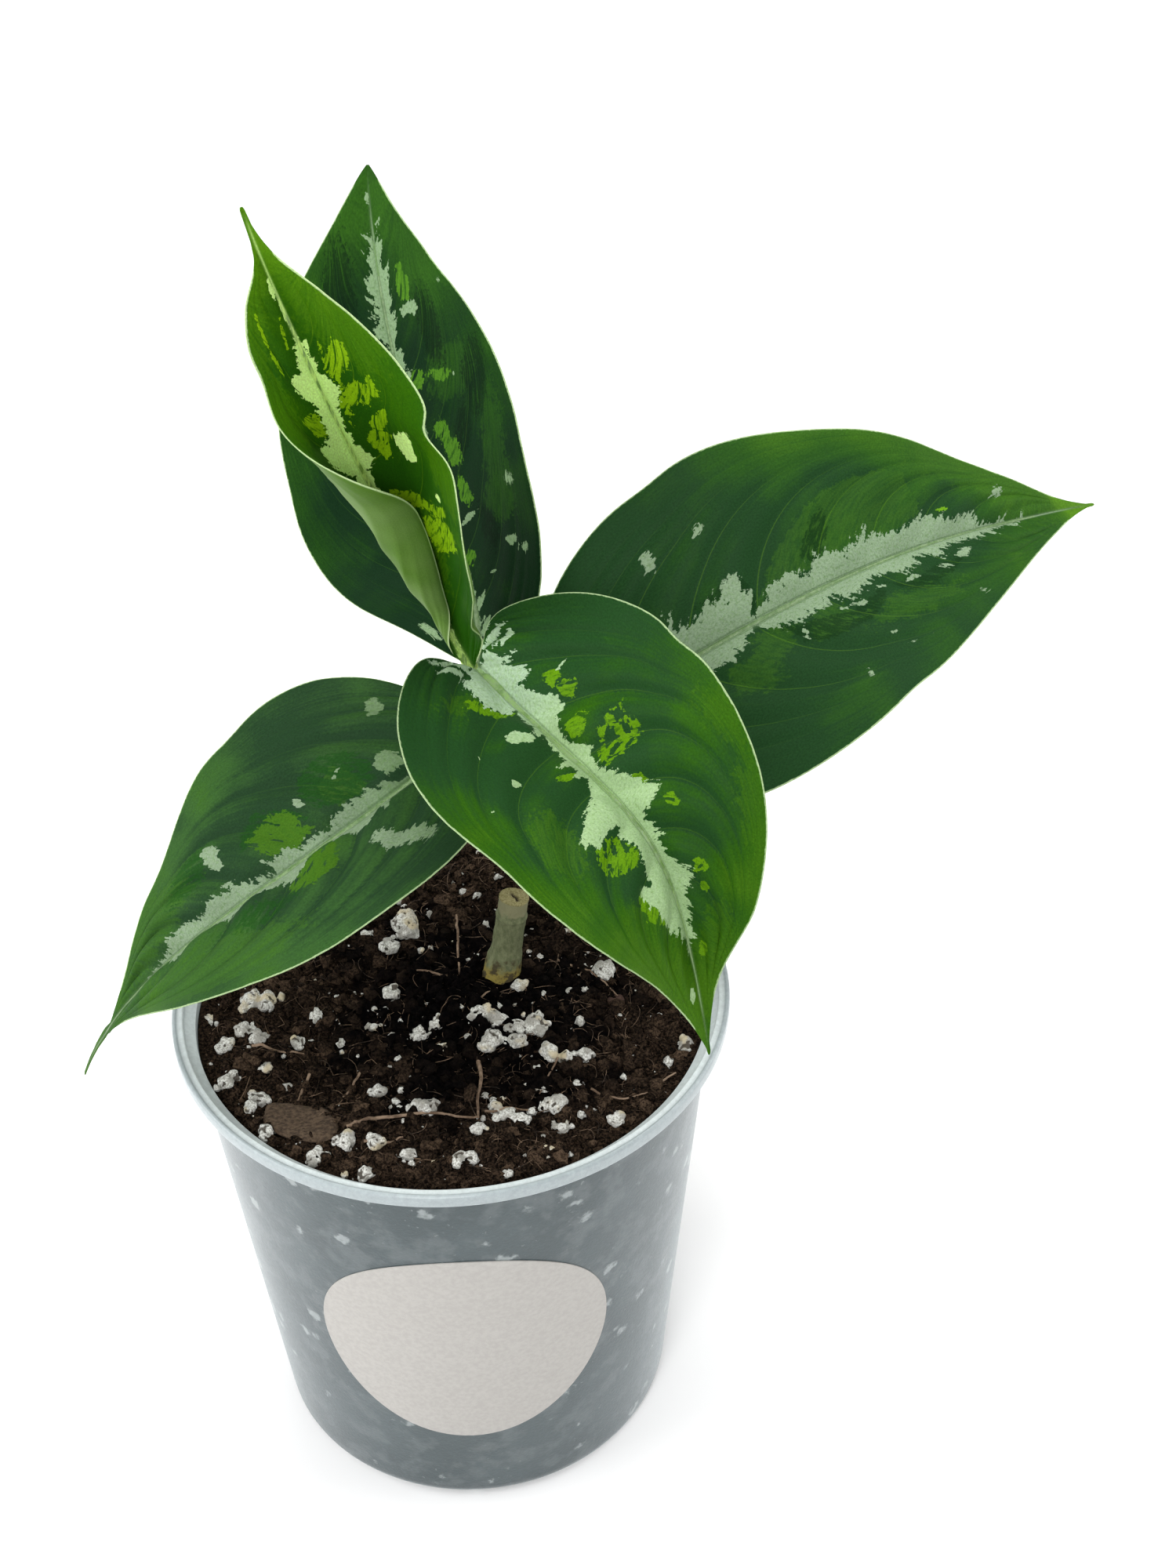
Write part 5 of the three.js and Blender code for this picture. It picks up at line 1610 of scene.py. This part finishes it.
def add_pores(piece):
    """Sinks pores into the skin of a piece of perlite, and keeps their depth as a field."""
    mesh = piece.data
    points = np.empty(len(mesh.vertices) * 3)
    mesh.vertices.foreach_get("co", points)
    normals = np.empty(len(mesh.vertices) * 3)
    mesh.vertex_normals.foreach_get("vector", normals)
    skin = points.reshape(-1, 3) / MM
    pits = pit_depth(skin, 301)
    moved = skin + normals.reshape(-1, 3) * (0.1 * fractal(skin, 0.8, 2, 311) - PORE_DEPTH * pits)[:, None]
    mesh.vertices.foreach_set("co", (moved * MM).ravel())
    put_field(mesh, "pits", triples(pits))
    mesh.polygons.foreach_set("use_smooth", np.ones(len(mesh.polygons), dtype=bool))
    mesh.update()


def perlite(shapes):
    random = np.random.default_rng(LUMP_SEED)
    material = perlite_material()
    points, faces = shapes[3]
    bubbles = []
    for x, y, radius in LARGE_LUMPS:
        level = soil_height(x, y) + 0.22 * radius
        for px, py, rise, size in lump_bubbles(random, x, y, LUMP_SWELL * radius):
            wobble = 1 + 0.32 * fractal(points + 7.0 * size + px, 0.9, 2, 5)
            bubbles.append((points * wobble[:, None] * size + np.array([px, py, level + rise]), faces))
    piece = make_piece("perlite_lumps", *joined(bubbles), [material], sharp=180)
    apply_modifier(piece, "fuse", "REMESH", mode="VOXEL", voxel_size=PERLITE_CELL * MM)
    add_pores(piece)
    grit = []
    for x, y, radius in scattered(random, GRIT_COUNT, 1.5, GRIT_RADII):
        shape = shapes[2 if radius > FINE_GRIT else 1]
        grit.append(knobbly(shape, random, x, y, radius, 0.75, 0.5, 0.6))
    points, faces = joined(grit)
    fields = {"pits": triples(0.7 * pit_depth(points, 331))}
    piece = make_piece("perlite_grit", points, faces, [material], fields=fields, sharp=50)


def fibre_material(name, low, high):
    return two_tone_material(name, 0.35, 4, 0.7, (0.38, 0.66), low, high, 0.15, Roughness=0.8)


def rootlets():
    roots = []
    for radius, route in ROOTLETS:
        line = catmull([(*point, 0) for point in route], 30)
        height = soil_height(line[:, 0], line[:, 1])
        level = np.convolve(np.pad(height, 3, "edge"), np.ones(7) / 7, "valid")
        line[:, 2] = np.maximum(height, level) + radius + ROOTLET_LIFT
        line[:, 0] += 0.25 * value_noise(line * 0.4, 5)
        roots.append(tube_mesh(line, 0.85 * radius * np.linspace(1, 0.55, len(line)), 8))
    material = fibre_material("rootlet", (0.095, 0.060, 0.038), (0.250, 0.175, 0.120))
    piece = make_piece("rootlets", *joined(roots), [material])


def fibres():
    random = np.random.default_rng(23)
    steps = np.linspace(-0.5, 0.5, 8)
    strands = []
    for x, y, _ in scattered(random, FIBRE_COUNT, 3.8, (0.1, 0.2)):
        length = random.uniform(*FIBRE_LENGTHS)
        turn = random.uniform(0, 2 * math.pi)
        heading = turn + random.uniform(-1.6, 1.6) * steps
        px = x + length * steps * np.cos(heading)
        py = y + length * steps * np.sin(heading)
        arch = random.uniform(0.2, 1.0) * (0.25 - steps ** 2) * 4
        level = soil_height(px, py)
        line = triples(px, py, level.max() * 0.5 + level * 0.5 + arch - 0.2)
        strands.append(tube_mesh(line, random.uniform(*FIBRE_RADII), 3))
    material = fibre_material("soil_fibre", (0.012, 0.008, 0.005), (0.150, 0.098, 0.062))
    piece = make_piece("soil_fibres", *joined(strands), [material])


def chip(name, outline, thickness, material):
    """A flat chip with rounded edges, lying on the soil."""
    edge = catmull([(*point, 0) for point in outline + outline[:1]], 61)[:-1, :2]
    centre = edge.mean(axis=0)
    low = soil_height(edge[:, 0], edge[:, 1]).mean() + CHIP_LIFT
    rows = []
    for share, level in CHIP_ROWS:
        flat = centre + (edge - centre) * share
        wobble = 0.35 * fractal(triples(flat[:, 0], flat[:, 1]), 3.5, 3, 41) * (level > 0.5)
        height = low + thickness * level + (flat - centre) @ CHIP_TILT + wobble
        rows.append(np.column_stack([flat, height]))
    faces = skin_faces(len(rows), len(edge), "flat", flip=True)
    piece = make_piece(name, np.vstack(rows), faces, [material])


def soil():
    material = soil_material()
    shapes = {detail: ball(detail) for detail in (1, 2, 3)}
    soil_bed(material)
    soil_crumbs(material, shapes)
    perlite(shapes)
    rootlets()
    fibres()
    bark = two_tone_material("bark_chip", (1.1, 1.65, 1.1), 5, 0.65, (0.35, 0.65),
                             (0.034, 0.022, 0.014), (0.100, 0.067, 0.042), 0.3, Roughness=0.85)
    chip("bark_chip", BARK_OUTLINE, BARK_THICKNESS, bark)
    red_bark = fibre_material("red_bark", (0.035, 0.018, 0.013), (0.085, 0.045, 0.032))
    chip("red_bark_chip", RED_CHIP_OUTLINE, RED_CHIP_THICKNESS, red_bark)


# Cane and stub

def cane_material():
    nodes = Nodes("cane_bark")
    place = nodes.place()
    streaks = nodes.noise(place, (1.5, 1.5, 0.25))
    tone = nodes.layers(
        (0.075, 0.120, 0.035),
        (streaks.step(0.3, 0.7), (0.150, 0.200, 0.070)),
        (nodes.noise(place, 0.3).step(0.5, 0.65) * 0.7, (0.200, 0.180, 0.110)),
    )
    nodes.bump(streaks, 0.2)
    return nodes.finish(Base_Color=tone, Roughness=0.55, Specular_IOR_Level=0.4)


def cane():
    path = catmull(CANE_PATH, 200)
    share = np.linspace(0, 1, len(path))
    ring = np.maximum(0, np.cos(2 * math.pi * CANE_SCAR_COUNT * share)) ** 12
    radii = blend(CANE_RADII[0], CANE_RADII[1], share) + CANE_SCAR_HEIGHT * ring

    def bark(skin, _, __):
        return 0.08 * fractal(skin, 2.5, 3, 61)

    piece = make_piece("cane_fine", *tube_mesh(path, radii, 32, bark), [cane_material()])
    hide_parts("cane")


def stub_material():
    """Its field holds the share of the height, the cut face and the crack."""
    nodes = Nodes("stub_bark")
    place = nodes.place()
    height, cut_face, crack = nodes.parts(nodes.field("stub"))
    streaks = nodes.noise(place, (1.0, 1.0, 0.45), 4)
    fine = nodes.noise(place, 2.6, 4, 0.65)
    blotches = nodes.noise(place, 0.45)
    base = nodes.mix(blotches.step(0.42, 0.58), (0.050, 0.040, 0.018), (0.230, 0.180, 0.040))
    cut = nodes.mix(fine.step(0.35, 0.65), (0.150, 0.130, 0.048), (0.285, 0.255, 0.125))
    # The bark is peeled off below the cut, and the skin there is smooth and pale.
    peeled = (height + blotches.swing(0.06)).step(0.83, 0.86) * 0.8
    tone = nodes.layers(
        (0.088, 0.102, 0.048),
        (streaks.step(0.3, 0.7), (0.155, 0.170, 0.088)),
        (fine.step(0.5, 0.7) * 0.35, (0.230, 0.235, 0.145)),
        ((height + blotches.swing(0.3)).step(0.26, 0.10), base),
        (peeled, (0.215, 0.205, 0.115)),
        (cut_face, cut),
        (crack, (0.020, 0.012, 0.006)),
    )
    nodes.bump(streaks + fine, 0.18)
    return nodes.finish(Base_Color=tone, Roughness=0.8, Specular_IOR_Level=0.25)


def stub():
    """Cut stub of the mother cane: a swollen foot, a bark ring below the cut and a cracked cut face."""
    path = catmull(STUB_PATH, STUB_STEPS)
    share = np.linspace(0, 1, STUB_STEPS)
    radii = blend(STUB_RADII[0], STUB_RADII[1], smooth((share - 0.5) / 0.35 + 0.5))
    ring = STUB_RING_HEIGHT * np.exp(-((share - 0.875) / 0.010) ** 2)
    radii = radii + ring - 0.1 * smooth((share - 0.88) / 0.015)

    def bark(skin, shares_along, _):
        foot = smooth((0.66 - shares_along) / 0.12)[:, None]
        knobs = foot * (STUB_FOOT_SWELL + 0.55 * np.maximum(0, value_noise(skin / 2.6, 75)))
        swollen = 1 + 0.5 * np.sign(path[:, :1] - skin[..., 0]) * foot
        return 0.13 * fractal(skin, 2.4, 4, 71) + knobs * swollen

    body = tube_mesh(path, radii, STUB_SIDES, bark)[0][:-2]
    body_fields = triples(np.repeat(np.clip((share - 0.45) / 0.55, 0, 1), STUB_SIDES))
    body_fields[-STUB_SIDES:, 1] = 1
    top, crack = cut_face(body[-STUB_SIDES:], path[-1], unit(path[-1] - path[-2]))
    top_fields = triples(1.0, 1.0, crack)
    points = np.vstack([body, top[:-1], path[:1], top[-1:]])
    fields = np.vstack([body_fields, top_fields[:-1], np.zeros((1, 3)), top_fields[-1:]])
    sliver = bark_sliver(path)
    faces = skin_faces(STUB_STEPS + len(CUT_RINGS), STUB_SIDES)
    points, faces = joined([(points, faces), sliver])
    fields = np.vstack([fields, np.tile([0.7, 0.0, 0.0], (len(sliver[0]), 1))])
    piece = make_piece("stub_fine", points, faces, [stub_material()], fields={"stub": fields})
    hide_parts("cut_stub")


def cut_face(rim, centre, ahead):
    """Points of the cut, ring by ring to its middle, with a crack sunk in them, and how deep each is."""
    rings = []
    for share in CUT_RINGS:
        flat = centre + (rim - centre) * share
        lift = CUT_DOME * (1 - share ** 4) + 0.12 * fractal(flat, 1.2, 3, 81)
        rings.append(flat + ahead * lift[:, None])
    top = np.vstack(rings + [centre[None] + ahead * 0.2])
    crack_line = unit(CRACK_HEADING)
    off = top - centre - ahead * 0.2
    along = off @ crack_line
    across = off @ np.cross(crack_line, ahead) + 0.25 * np.sin(along * 2.2)
    inside = smooth((0.5 - np.abs(across)) / 0.35) * smooth((1.7 - np.abs(along - 0.2)) / 0.5)
    return top - ahead * (CRACK_DEPTH * inside)[:, None], inside


def bark_sliver(path):
    """A torn splinter of bark that stands off the stub's left side."""
    share = np.linspace(0, 1, 12)[:, None]
    ahead = unit(path[-1] - path[-2]) * SLIVER_LENGTH
    line = path[SLIVER_STEP] + vectors(SLIVER_OFFSET) + ahead * share + vectors(SLIVER_BEND) * share ** 2
    return tube_mesh(line, blend(*SLIVER_RADII, share[:, 0] ** 1.5), 10)


camera()
studio()
leaves()
pot()
label()
soil()
cane()
stub()
